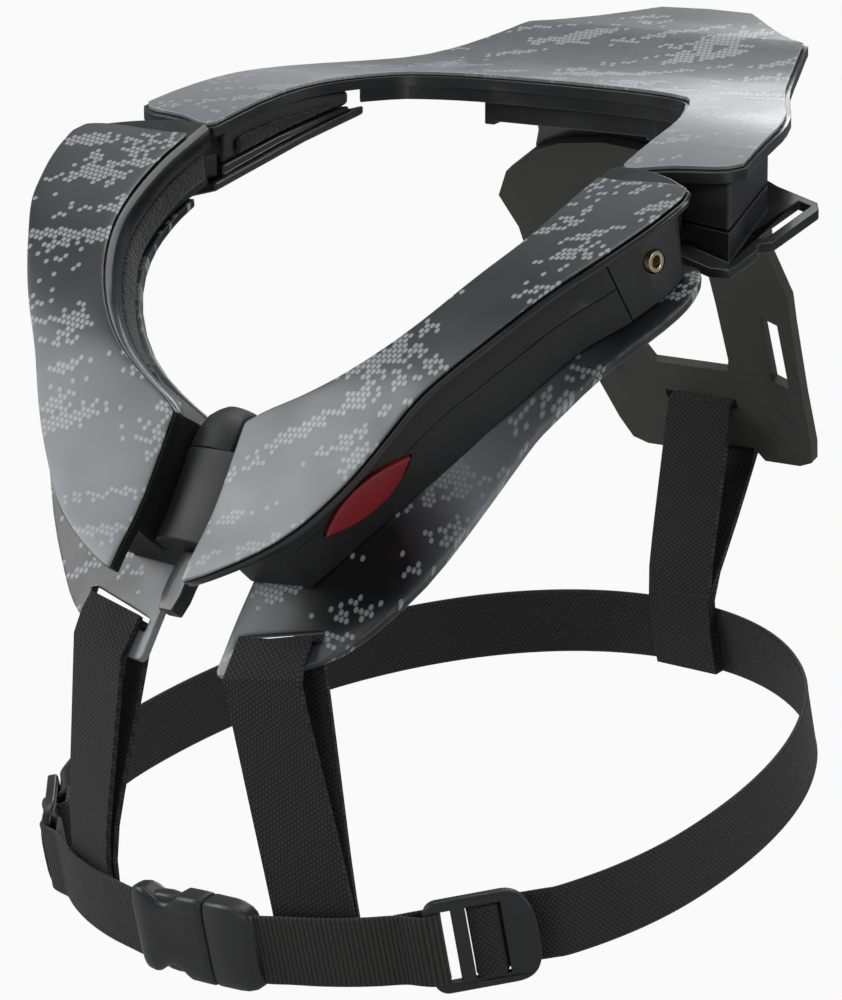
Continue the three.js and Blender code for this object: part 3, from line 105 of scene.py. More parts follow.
class Wiring:
    """Adds nodes to one shader tree and joins them."""

    def __init__(self, tree: bpy.types.NodeTree) -> None:
        """Keeps the tree that nodes are added to."""
        self.tree = tree

    def put(self, socket: bpy.types.NodeSocket, value: object) -> None:
        """Links a socket to the value, or sets it where the value is a constant.

        Args:
            socket: The input socket.
            value: An output socket, a number, or a tuple.
        """
        if isinstance(value, bpy.types.NodeSocket):
            self.tree.links.new(value, socket)
        elif isinstance(value, tuple) and len(value) == 3 and len(socket.default_value) == 4:
            socket.default_value = (*value, 1.0)
        else:
            socket.default_value = value

    def add(self, kind: str, inputs: dict | None = None, **settings: object) -> bpy.types.Node:
        """Adds a node.

        Args:
            kind: The node's type name.
            inputs: Values or sockets by input name or index.
            settings: Attributes of the node.

        Returns:
            The node.
        """
        node = self.tree.nodes.new(kind)
        for key, value in settings.items():
            setattr(node, key, value)
        for key, value in (inputs or {}).items():
            self.put(node.inputs[key], value)
        return node

    def math(self, operation: str, *values: object, clamp: bool = False) -> bpy.types.NodeSocket:
        """Adds a Math node.

        Args:
            operation: The operation's name.
            values: Its operands, as sockets or numbers.
            clamp: Whether the result is kept from 0 to 1.

        Returns:
            The result's socket.
        """
        inputs = dict(enumerate(values))
        return self.add("ShaderNodeMath", inputs, operation=operation, use_clamp=clamp).outputs[0]

    def vector(self, operation: str, *values: object) -> bpy.types.Node:
        """Adds a Vector Math node.

        Args:
            operation: The operation's name.
            values: Its operands, as sockets or triples.

        Returns:
            The node.
        """
        return self.add("ShaderNodeVectorMath", dict(enumerate(values)), operation=operation)

    def blend(self, share: object, first: object, second: object) -> bpy.types.NodeSocket:
        """Mixes two colours.

        Args:
            share: How much of the second colour shows.
            first: The first colour.
            second: The second colour.

        Returns:
            The mixed colour's socket.
        """
        return self.add("ShaderNodeMix", {0: share, 6: first, 7: second}, data_type="RGBA").outputs[2]

    def remap(self, value: object, low: float, high: float, to_low: float = 0.0,
              to_high: float = 1.0) -> bpy.types.NodeSocket:
        """Maps a range onto another, clamped.

        Args:
            value: The value's socket.
            low: Where the range starts.
            high: Where the range ends.
            to_low: The result at the start.
            to_high: The result at the end.

        Returns:
            The result's socket.
        """
        inputs = {0: value, 1: low, 2: high, 3: to_low, 4: to_high}
        return self.add("ShaderNodeMapRange", inputs).outputs[0]

    def noise(self, vector: object, scale: object, detail: float = 3.0) -> bpy.types.NodeSocket:
        """Adds a noise and gives its value's socket."""
        return self.add("ShaderNodeTexNoise", {"Vector": vector, "Scale": scale, "Detail": detail}).outputs[0]

    def group(self, tree: bpy.types.NodeTree, **inputs: object) -> bpy.types.Node:
        """Places a node group.

        Args:
            tree: The group's tree.
            inputs: Values or sockets by input name.

        Returns:
            The group node.
        """
        node = self.add("ShaderNodeGroup", node_tree=tree)
        for key, value in inputs.items():
            self.put(node.inputs[key.replace("_", " ")], value)
        return node


class Effects:
    """The shader node groups that several finishes share, each built once."""

    def __init__(self) -> None:
        """Builds every group."""
        self.grain = self._grain()
        self.wear_and_highlight = self._wear_and_highlight()
        self.dots = self._dots()
        self.weave = self._weave()
        self.dust = self._dust()

    @staticmethod
    def _start(name: str, inputs: dict[str, str], outputs: tuple[str, ...]) -> tuple:
        """Makes an empty group.

        Args:
            name: The group's name.
            inputs: Socket kinds by input name.
            outputs: The names of its float outputs.

        Returns:
            The tree, its wiring, and its input and output nodes.
        """
        tree = bpy.data.node_groups.new(name, "ShaderNodeTree")
        for label, kind in inputs.items():
            tree.interface.new_socket(label, in_out="INPUT", socket_type=kind)
        for label in outputs:
            tree.interface.new_socket(label, in_out="OUTPUT", socket_type="NodeSocketFloat")
        wiring = Wiring(tree)
        return tree, wiring, wiring.add("NodeGroupInput").outputs, wiring.add("NodeGroupOutput").inputs

    def _grain(self) -> bpy.types.NodeTree:
        """Builds the fine grain and soft patches of moulded plastic."""
        kinds = {"Vector": "NodeSocketVector", "Grain Scale": "NodeSocketFloat"}
        tree, wiring, given, result = self._start("moulded_grain", kinds, ("Height", "Patch"))
        fine = wiring.noise(given["Vector"], given["Grain Scale"], 2.0)
        wiring.put(result["Height"], fine)
        wiring.put(result["Patch"], wiring.noise(given["Vector"], 38.0, 3.0))
        return tree

    def _wear_and_highlight(self) -> bpy.types.NodeTree:
        """Builds the lighter look of outer edges: rubbed wear on moulded parts, and a painted highlight along the
        edges of printed covers.
        """
        kinds = {"Vector": "NodeSocketVector", "Amount": "NodeSocketFloat"}
        tree, wiring, given, result = self._start("edge_wear_and_highlight", kinds, ("Mask",))
        point = wiring.add("ShaderNodeNewGeometry").outputs["Pointiness"]
        # Pointiness lightens outer edges: rubbed wear on moulded parts, a painted edge highlight on printed covers.
        edge = wiring.remap(point, 0.515, 0.6)
        broken = wiring.remap(wiring.noise(given["Vector"], 260.0, 4.0), 0.38, 0.62, 0.25, 1.0)
        worn_and_highlight = wiring.math("MULTIPLY", edge, broken)
        wiring.put(result["Mask"], wiring.math("MULTIPLY", worn_and_highlight, given["Amount"], clamp=True))
        return tree

    def _dust(self) -> bpy.types.NodeTree:
        """Builds a thin film of dust on faces that look up."""
        kinds = {"Vector": "NodeSocketVector", "Amount": "NodeSocketFloat"}
        tree, wiring, given, result = self._start("dust_film", kinds, ("Mask",))
        normal = wiring.add("ShaderNodeNewGeometry").outputs["Normal"]
        up = wiring.add("ShaderNodeSeparateXYZ", {0: normal}).outputs["Z"]
        lying = wiring.remap(up, 0.1, 0.9)
        clouds = wiring.remap(wiring.noise(given["Vector"], 55.0, 5.0), 0.42, 0.75)
        film = wiring.math("MULTIPLY", lying, clouds)
        wiring.put(result["Mask"], wiring.math("MULTIPLY", film, given["Amount"], clamp=True))
        return tree

    def _dots(self) -> bpy.types.NodeTree:
        """Builds round printed dots on a honeycomb grid, in streaks and clusters."""
        kinds = {
            "Vector": "NodeSocketVector", "Pitch": "NodeSocketFloat", "Radius": "NodeSocketFloat",
            "Cover": "NodeSocketFloat", "Seed": "NodeSocketFloat",
        }
        tree, wiring, given, result = self._start("print_dots", kinds, ("Dot", "Ring"))
        cell = (1.0, math.sqrt(3.0), 1.0)
        half = (0.5, math.sqrt(3.0) / 2, 0.0)
        scaled = wiring.vector("SCALE", given["Vector"])
        wiring.put(scaled.inputs["Scale"], wiring.math("DIVIDE", 1.0, given["Pitch"]))
        place = scaled.outputs[0]
        raised = wiring.vector("ADD", place, half).outputs[0]
        even = wiring.vector("SNAP", raised, cell).outputs[0]
        odd = wiring.vector("ADD", wiring.vector("SNAP", place, cell).outputs[0], half).outputs[0]
        to_even = wiring.vector("DISTANCE", place, even).outputs["Value"]
        to_odd = wiring.vector("DISTANCE", place, odd).outputs["Value"]
        is_even = wiring.math("LESS_THAN", to_even, to_odd)
        centre = wiring.add("ShaderNodeMix", {0: is_even, 4: odd, 5: even}, data_type="VECTOR").outputs[1]
        reach = wiring.math("MINIMUM", to_even, to_odd)
        share = wiring.math("DIVIDE", reach, given["Radius"])
        disc = wiring.remap(share, 1.06, 0.94)
        inner = wiring.remap(share, 0.62, 0.5)
        outer = wiring.remap(share, 0.78, 0.9)
        turned = wiring.add("ShaderNodeVectorRotate", {"Vector": centre, "Angle": math.radians(24)},
                            rotation_type="Z_AXIS").outputs[0]
        shifted = wiring.vector("ADD", turned,
                                wiring.add("ShaderNodeCombineXYZ", {0: given["Seed"], 2: given["Seed"]}).outputs[0])
        streak_place = wiring.vector("MULTIPLY", shifted.outputs[0], (0.055, 0.3, 1.0)).outputs[0]
        streaks = wiring.noise(streak_place, 1.0, 2.0)
        clusters = wiring.noise(wiring.vector("MULTIPLY", shifted.outputs[0], (0.09, 0.09, 1.0)).outputs[0], 1.0, 1.0)
        chance = wiring.add("ShaderNodeTexWhiteNoise", {"Vector": centre}, noise_dimensions="3D").outputs[0]
        field_value = wiring.math("ADD", wiring.math("MULTIPLY", streaks, 0.75), wiring.math("MULTIPLY", clusters, 0.35))
        lifted = wiring.math("ADD", field_value, wiring.math("MULTIPLY", chance, 0.11))
        limit = wiring.math("SUBTRACT", 1.0, given["Cover"])
        printed = wiring.math("GREATER_THAN", lifted, limit)
        wiring.put(result["Dot"], wiring.math("MULTIPLY", disc, printed))
        gap = wiring.math("SUBTRACT", 1.0, wiring.math("MAXIMUM", inner, outer), clamp=True)
        wiring.put(result["Ring"], wiring.math("MULTIPLY", wiring.math("MULTIPLY", gap, disc), printed))
        return tree

    def _weave(self) -> bpy.types.NodeTree:
        """Builds webbing: rows of threads along and across the strap, or cross ribs, with painted light that is
        lightest on the raised threads and darkest in the gaps.
        """
        kinds = {"Vector": "NodeSocketVector", "Along": "NodeSocketFloat", "Across": "NodeSocketFloat",
                 "Ribs": "NodeSocketFloat"}
        tree, wiring, given, result = self._start("webbing_weave", kinds, ("Height", "Painted Light"))
        parts = wiring.add("ShaderNodeSeparateXYZ", {0: given["Vector"]}).outputs
        along = wiring.math("DIVIDE", parts[0], given["Along"])
        across = wiring.math("DIVIDE", parts[1], given["Across"])
        row = wiring.math("FLOOR", across)
        odd = wiring.math("MULTIPLY", wiring.math("MODULO", row, 2.0), 0.5)
        thread = wiring.math("ABSOLUTE", wiring.math("SINE", wiring.math(
            "MULTIPLY", wiring.math("ADD", along, odd), math.pi)))
        side = wiring.math("ABSOLUTE", wiring.math("SINE", wiring.math("MULTIPLY", across, math.pi)))
        woven = wiring.math("MULTIPLY", thread, side)
        rib = wiring.math("ABSOLUTE", wiring.math("SINE", wiring.math("MULTIPLY", along, math.pi)))
        height = wiring.add("ShaderNodeMix", {0: given["Ribs"], 2: woven, 3: rib}, data_type="FLOAT").outputs[0]
        fuzz = wiring.noise(given["Vector"], 1.7, 3.0)
        wiring.put(result["Height"], wiring.math("ADD", height, wiring.math("MULTIPLY", fuzz, 0.22)))
        # Painted light: the raised threads are lighter and the gaps between them darker.
        wiring.put(result["Painted Light"], wiring.math("MULTIPLY", height, wiring.remap(fuzz, 0.3, 0.7, 0.55, 1.0)))
        return tree


EFFECTS = Effects()


def new_material(name: str) -> tuple[bpy.types.Material, Wiring, bpy.types.Node]:
    """Makes a material with one Principled shader.

    Args:
        name: The material's name.

    Returns:
        The material, its wiring and its Principled node.
    """
    material = bpy.data.materials.new(name)
    material.use_nodes = True
    wiring = Wiring(material.node_tree)
    return material, wiring, material.node_tree.nodes["Principled BSDF"]


@dataclass(frozen=True)
class MouldedFinish:
    """Moulded plastic with grain, lighter edges and a little dust: the edges show rubbed wear, and in the print edge
    finish a painted highlight.
    """

    name: str
    colour: Colour
    roughness: float
    worn_and_highlight: Colour = grey(92)
    grain_scale: float = 1500.0
    grain_depth: float = 0.05
    wear_and_highlight: float = 0.3
    dust: float = 0.12
    coat: float = 0.0

    def build(self) -> bpy.types.Material:
        """Makes the material."""
        material, wiring, shader = new_material(self.name)
        place = wiring.add("ShaderNodeTexCoord").outputs["Object"]
        grain = wiring.group(EFFECTS.grain, Vector=place, Grain_Scale=self.grain_scale)
        wear_and_highlight = wiring.group(EFFECTS.wear_and_highlight, Vector=place, Amount=self.wear_and_highlight)
        dust = wiring.group(EFFECTS.dust, Vector=place, Amount=self.dust)
        patchy = wiring.blend(wiring.remap(grain.outputs["Patch"], 0.3, 0.7), self.colour,
                              tuple(part * 1.35 for part in self.colour))
        # Lighter outer edges: rubbed wear, and in the print edge finish a painted highlight.
        rubbed_and_highlit = wiring.blend(wear_and_highlight.outputs["Mask"], patchy, self.worn_and_highlight)
        wiring.put(shader.inputs["Base Color"], wiring.blend(dust.outputs["Mask"], rubbed_and_highlit, grey(120, WARM)))
        wiring.put(shader.inputs["Roughness"], wiring.remap(
            grain.outputs["Patch"], 0.3, 0.7, self.roughness - 0.05, self.roughness + 0.07))
        bump = wiring.add("ShaderNodeBump", {"Strength": 1.0, "Distance": self.grain_depth * MM,
                                             "Height": grain.outputs["Height"]})
        wiring.put(shader.inputs["Normal"], bump.outputs[0])
        shader.inputs["Coat Weight"].default_value = self.coat
        shader.inputs["Coat Roughness"].default_value = 0.12
        return material


class Fade(Enum):
    """How a printed cover's grey changes over it; the round fade's dark centre is a painted shadow."""

    ALONG = "along the piece"
    # Painted shadow: the round fade is darkest at its centre, where a nearby part casts shade.
    ROUND = "round a dark place"


@dataclass(frozen=True)
class PrintFinish:
    """Printed film: a grey fade with rows of lighter dots, and a painted highlight along its outer edges; the round
    fade paints a shadow at its dark centre.
    """

    name: str
    stops: tuple[tuple[float, float], ...]
    fade: Fade = Fade.ALONG
    # centre: where the round fade, and the shadow painted into it, is darkest.
    centre: tuple[float, float, float] = (0.0, 0.0, 0.0)
    dot: Colour = grey(176, COOL)
    ring: Colour = grey(98, COOL)
    pitch: float = 2.25
    radius: float = 0.43
    cover: float = 0.37
    seed: float = 0.0
    roughness: float = 0.34

    def build(self) -> bpy.types.Material:
        """Makes the material."""
        material, wiring, shader = new_material(self.name)
        place = wiring.add("ShaderNodeTexCoord").outputs["Object"]
        flat = wiring.add("ShaderNodeUVMap", uv_map="print").outputs[0]
        if self.fade is Fade.ALONG:
            way = wiring.add("ShaderNodeSeparateXYZ", {0: flat}).outputs["Y"]
        else:
            # Distance from the centre, where the painted shadow is darkest.
            away = wiring.vector("DISTANCE", place, self.centre).outputs["Value"]
            way = wiring.math("DIVIDE", away, MM)
        clouds = wiring.math("MULTIPLY", wiring.noise(place, 30.0, 2.0), 16.0)
        reach = self.stops[-1][0]
        share = wiring.math("DIVIDE", wiring.math("ADD", way, wiring.math("SUBTRACT", clouds, 8.0)), reach)
        ramp = wiring.add("ShaderNodeValToRGB", {0: share})
        while len(ramp.color_ramp.elements) < len(self.stops):
            ramp.color_ramp.elements.new(0.5)
        for element, (position, level) in zip(ramp.color_ramp.elements, self.stops):
            element.position = position / reach
            element.color = (*grey(level, COOL), 1.0)
        dots = wiring.group(EFFECTS.dots, Vector=flat, Pitch=self.pitch, Radius=self.radius,
                            Cover=self.cover, Seed=self.seed)
        grain = wiring.group(EFFECTS.grain, Vector=place, Grain_Scale=1800.0)
        # Painted highlight: the cover's outer edges are lightened towards grey 150 to paint the light line along
        # them.
        wear_and_highlight = wiring.group(EFFECTS.wear_and_highlight, Vector=place, Amount=0.9)
        dotted = wiring.blend(wiring.math("MULTIPLY", dots.outputs["Dot"], 0.82), ramp.outputs[0], self.dot)
        ringed = wiring.blend(wiring.math("MULTIPLY", dots.outputs["Ring"], 0.5), dotted, self.ring)
        wiring.put(shader.inputs["Base Color"], wiring.blend(wear_and_highlight.outputs["Mask"], ringed, grey(150)))
        wiring.put(shader.inputs["Roughness"], wiring.remap(
            grain.outputs["Patch"], 0.3, 0.7, self.roughness - 0.05, self.roughness + 0.06))
        height = wiring.math("ADD", wiring.math("MULTIPLY", grain.outputs["Height"], 0.5), dots.outputs["Dot"])
        bump = wiring.add("ShaderNodeBump", {"Strength": 0.6, "Distance": 0.03 * MM, "Height": height})
        wiring.put(shader.inputs["Normal"], bump.outputs[0])
        return material


@dataclass(frozen=True)
class WebbingFinish:
    """Black woven webbing, with painted highlights on the raised threads and painted shade in the gaps."""

    name: str
    along: float = 1.7
    across: float = 1.2
    ribs: float = 0.0
    # low is the painted shade in the gaps; high is the painted highlight on the thread tops.
    low: Colour = grey(9)
    high: Colour = grey(54, WARM)
    depth: float = 0.32

    def build(self) -> bpy.types.Material:
        """Makes the material."""
        material, wiring, shader = new_material(self.name)
        flat = wiring.add("ShaderNodeUVMap", uv_map="route").outputs[0]
        place = wiring.add("ShaderNodeTexCoord").outputs["Object"]
        weave = wiring.group(EFFECTS.weave, Vector=flat, Along=self.along, Across=self.across, Ribs=self.ribs)
        dust = wiring.group(EFFECTS.dust, Vector=place, Amount=0.1)
        # Painted light and shade of the threads, from the weave's height.
        base = wiring.blend(weave.outputs["Painted Light"], self.low, self.high)
        wiring.put(shader.inputs["Base Color"], wiring.blend(dust.outputs["Mask"], base, grey(110, WARM)))
        wiring.put(shader.inputs["Roughness"], wiring.remap(weave.outputs["Painted Light"], 0.0, 1.0, 0.85, 0.62))
        bump = wiring.add("ShaderNodeBump", {"Strength": 0.8, "Distance": self.depth * MM,
                                             "Height": weave.outputs["Height"]})
        wiring.put(shader.inputs["Normal"], bump.outputs[0])
        shader.inputs["Sheen Weight"].default_value = 0.06
        return material


@dataclass(frozen=True)
class PileFinish:
    """Black looped pile of the neck pads, lighter on the raised loops and darker between them as painted light and
    shade.
    """

    name: str
    # low is the painted shade between the loops; high is the painted light on their tops.
    low: Colour = grey(8)
    high: Colour = grey(38)

    def build(self) -> bpy.types.Material:
        """Makes the material."""
        material, wiring, shader = new_material(self.name)
        place = wiring.add("ShaderNodeTexCoord").outputs["Object"]
        loops = wiring.add("ShaderNodeTexVoronoi", {"Vector": place, "Scale": 900.0}).outputs["Distance"]
        grain = wiring.group(EFFECTS.grain, Vector=place, Grain_Scale=700.0)
        dust = wiring.group(EFFECTS.dust, Vector=place, Amount=0.08)
        tuft = wiring.math("SUBTRACT", 1.0, loops, clamp=True)
        # Painted light and shade: the colour is lightest where the loops stand highest.
        base = wiring.blend(wiring.math("MULTIPLY", tuft, grain.outputs["Height"]), self.low, self.high)
        wiring.put(shader.inputs["Base Color"], wiring.blend(dust.outputs["Mask"], base, grey(100)))
        wiring.put(shader.inputs["Roughness"], wiring.remap(grain.outputs["Patch"], 0.3, 0.7, 0.82, 0.95))
        height = wiring.math("ADD", tuft, grain.outputs["Height"])
        bump = wiring.add("ShaderNodeBump", {"Strength": 0.9, "Distance": 0.5 * MM, "Height": height})
        wiring.put(shader.inputs["Normal"], bump.outputs[0])
        shader.inputs["Sheen Weight"].default_value = 0.25
        shader.inputs["Sheen Roughness"].default_value = 0.6
        return material


@dataclass(frozen=True)
class MetalFinish:
    """Turned brass-coloured metal with a darker film."""

    name: str
    colour: Colour = (0.72, 0.62, 0.42)
    roughness: float = 0.24

    def build(self) -> bpy.types.Material:
        """Makes the material."""
        material, wiring, shader = new_material(self.name)
        place = wiring.add("ShaderNodeTexCoord").outputs["Object"]
        grain = wiring.group(EFFECTS.grain, Vector=place, Grain_Scale=2400.0)
        wiring.put(shader.inputs["Base Color"], wiring.blend(
            wiring.remap(grain.outputs["Patch"], 0.45, 0.7), self.colour, tuple(part * 0.45 for part in self.colour)))
        wiring.put(shader.inputs["Roughness"], wiring.remap(
            grain.outputs["Height"], 0.3, 0.7, self.roughness, self.roughness + 0.14))
        shader.inputs["Metallic"].default_value = 1.0
        return material


@dataclass(frozen=True)
class StageFinish:
    """Pale floor and backdrop, evenly bright to the camera."""

    name: str = "pale_floor"
    seen: float = 0.955
    lit: float = 0.5

    def build(self) -> bpy.types.Material:
        """Makes the material."""
        material, wiring, shader = new_material(self.name)
        shader.inputs["Base Color"].default_value = (self.lit, self.lit, self.lit, 1.0)
        shader.inputs["Roughness"].default_value = 0.9
        glow = wiring.add("ShaderNodeEmission", {"Color": (self.seen,) * 3, "Strength": 1.0})
        path = wiring.add("ShaderNodeLightPath").outputs["Is Camera Ray"]
        mix = wiring.add("ShaderNodeMixShader", {0: path, 1: shader.outputs[0], 2: glow.outputs[0]})
        wiring.put(material.node_tree.nodes["Material Output"].inputs[0], mix.outputs[0])
        return material


class Palette:
    """Every finish of the brace, built once."""

    def __init__(self) -> None:
        """Builds the materials."""
        front = ((0.0, 82), (26.0, 66), (52.0, 48), (88.0, 58), (128.0, 112), (172.0, 138))
        table = ((0.0, 104), (30.0, 92), (80.0, 102), (118.0, 150), (140.0, 132), (170.0, 118))
        # Lower plates: darkest at the centre, which paints the core's shadow, then a printed fade through lighter
        # greys.
        lower = ((0.0, 20), (22.0, 26), (34.0, 76), (52.0, 140), (75.0, 112), (120.0, 40))
        self.front_print = PrintFinish("front_cover_print", front, cover=0.34).build()
        self.table_print = PrintFinish("rear_table_print", table, cover=0.33, seed=7.0).build()
        self.lower_print_and_shadow = {
            side: PrintFinish(f"lower_plate_print_and_shadow_{side}", lower, Fade.ROUND,
                              (sign * 0.058, -0.1, -0.082), cover=0.34, seed=3.0).build()
            for side, sign in zip(SIDES, (1, -1))
        }
        # Painted highlight: the table cover's rounded edges are a lighter grey that paints the light line along them.
        self.print_edge_highlight = MouldedFinish("print_edge_highlight", grey(150, COOL), 0.3, worn_and_highlight=grey(190), dust=0.0).build()
        self.shell = MouldedFinish("shell_black", grey(26, COOL), 0.3, coat=0.3).build()
        self.core = MouldedFinish("core_black", grey(28, COOL), 0.5, grain_scale=2200.0, grain_depth=0.08).build()
        self.back = MouldedFinish("back_plate_black", grey(50, WARM), 0.58, grain_scale=2600.0,
                                  grain_depth=0.1, wear_and_highlight=0.22).build()
        self.hardware = MouldedFinish("buckle_black", grey(32, COOL), 0.36, wear_and_highlight=0.25).build()
        self.button = MouldedFinish("button_red", (0.22, 0.012, 0.016), 0.28, worn_and_highlight=(0.3, 0.03, 0.03),
                                    wear_and_highlight=0.2, dust=0.05, coat=0.3).build()
        self.pin = MetalFinish("pin_brass").build()
        self.screw = MetalFinish("screw_steel", grey(150), 0.3).build()
        self.pile = PileFinish("pad_pile").build()
        self.webbing = WebbingFinish("webbing_woven").build()
        self.chest_webbing = WebbingFinish("webbing_ribbed", along=1.7, across=1.0, ribs=0.0, depth=0.3).build()
        self.ribbed_webbing = WebbingFinish("webbing_cross_ribs", along=1.65, ribs=1.0, depth=0.4).build()


class Crown(Enum):
    """What is done with a copied form besides rounding its edges."""

    FLAT = 0
    SMOOTH = 1
    FINE = 2


@dataclass(frozen=True)
class Shaping:
    """How a solid of the frame becomes a fine mesh."""

    crown: Crown = Crown.FLAT
    bevel: float = 0.5
    segments: int = 3
    edge_angle: float = 32.0
    merge: float = 0.02

    def apply(self, obj: bpy.types.Object, edge_slot: int = -1) -> None:
        """Rounds the object's edges and smooths its outlines.

        Args:
            obj: The object.
            edge_slot: The material slot of the rounded edges, or -1 for the faces' own.
        """
        mesh = bmesh.new()
        mesh.from_mesh(obj.data)
        bmesh.ops.remove_doubles(mesh, verts=mesh.verts, dist=self.merge * MM)
        bmesh.ops.dissolve_degenerate(mesh, edges=mesh.edges, dist=self.merge * MM)
        if self.crown is Crown.FLAT:
            bmesh.ops.dissolve_limit(mesh, angle_limit=math.radians(0.6), verts=mesh.verts, edges=mesh.edges)
        else:
            bmesh.ops.join_triangles(mesh, faces=mesh.faces, angle_face_threshold=math.radians(28),
                                     angle_shape_threshold=math.radians(60))
        mesh.to_mesh(obj.data)
        mesh.free()
        bevel = obj.modifiers.new("edges", "BEVEL")
        bevel.width = self.bevel * MM
        bevel.segments = self.segments
        bevel.limit_method = "ANGLE"
        bevel.angle_limit = math.radians(self.edge_angle)
        bevel.use_clamp_overlap = True
        bevel.material = edge_slot
        if self.crown is not Crown.FLAT:
            smooth = obj.modifiers.new("outline", "SUBSURF")
            smooth.levels = self.crown.value
            smooth.render_levels = self.crown.value
        obj.data.shade_smooth()
        obj.modifiers.new("shading", "WEIGHTED_NORMAL").keep_sharp = True
        settle(obj)


def settle(obj: bpy.types.Object) -> None:
    """Turns an object's modifiers into its mesh."""
    bpy.context.view_layer.update()
    seen = obj.evaluated_get(bpy.context.evaluated_depsgraph_get())
    mesh = bpy.data.meshes.new_from_object(seen)
    obj.modifiers.clear()
    obj.data = mesh


def add_object(name: str, mesh: bpy.types.Mesh) -> bpy.types.Object:
    """Adds a mesh to the scene as an object."""
    obj = bpy.data.objects.new(name, mesh)
    bpy.context.scene.collection.objects.link(obj)
    return obj


def copy_of(node: str) -> bpy.types.Object:
    """Copies a solid of the frame as a new object without materials."""
    mesh = frame["nodes"][node].data.copy()
    mesh.materials.clear()
    return add_object(f"{node}_form", mesh)


def body_of(node: str) -> str:
    """Gives the name of the body that a node belongs to."""
    return frame["nodes"][node]["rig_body"]


def stand_in(obj: bpy.types.Object, node: str) -> bpy.types.Object:
    """Puts a finished piece in the place of a solid.

    Args:
        obj: The finished piece.
        node: The solid's name.

    Returns:
        The piece.
    """
    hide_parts(node)
    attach(obj, body_of(node))
    LOG.info("%s: %d faces", obj.name, len(obj.data.polygons))
    return obj


def moulded(node: str, shaping: Shaping, material: bpy.types.Material,
            edge: bpy.types.Material | None = None) -> bpy.types.Object:
    """Makes the fine form of a hard solid.

    Args:
        node: The solid's name.
        shaping: How its edges and outline are rounded.
        material: Its finish.
        edge: The finish of its rounded edges, where that differs.

    Returns:
        The piece.
    """
    obj = copy_of(node)
    obj.data.materials.append(material)
    if edge is not None:
        obj.data.materials.append(edge)
    shaping.apply(obj, -1 if edge is None else 1)
    return stand_in(obj, node)


def unroll(obj: bpy.types.Object, slope: float = 0.1, bins: int = 24) -> None:
    """Lays out a printed cover in millimetres: across by x, along by its length over the profile.

    Args:
        obj: The cover.
        slope: How far the profile drops for each step away from the middle.
        bins: How many steps the profile is measured in.
    """
    mesh = obj.data
    points = np.empty(len(mesh.vertices) * 3)
    mesh.vertices.foreach_get("co", points)
    points = points.reshape(-1, 3) / MM
    level = points[:, 2] - slope * np.abs(points[:, 0])
    edges = np.linspace(points[:, 1].max(), points[:, 1].min(), bins + 1)
    middles = (edges[:-1] + edges[1:]) / 2
    heights = []
    for high, low in zip(edges[:-1], edges[1:]):
        chosen = level[(points[:, 1] <= high + 1e-6) & (points[:, 1] >= low - 1e-6)]
        heights.append(chosen.max() if len(chosen) else heights[-1])
    steps = np.hypot(np.diff(middles), np.diff(heights))
    lengths = np.concatenate([[0.0], np.cumsum(steps)])
    along = np.interp(-points[:, 1], -middles, lengths)
    layer = mesh.uv_layers.new(name="print")
    corners = np.empty(len(mesh.loops), dtype=np.int64)
    mesh.loops.foreach_get("vertex_index", corners)
    flat = np.stack([points[corners, 0], along[corners]], axis=1)
    layer.data.foreach_set("uv", flat.ravel())


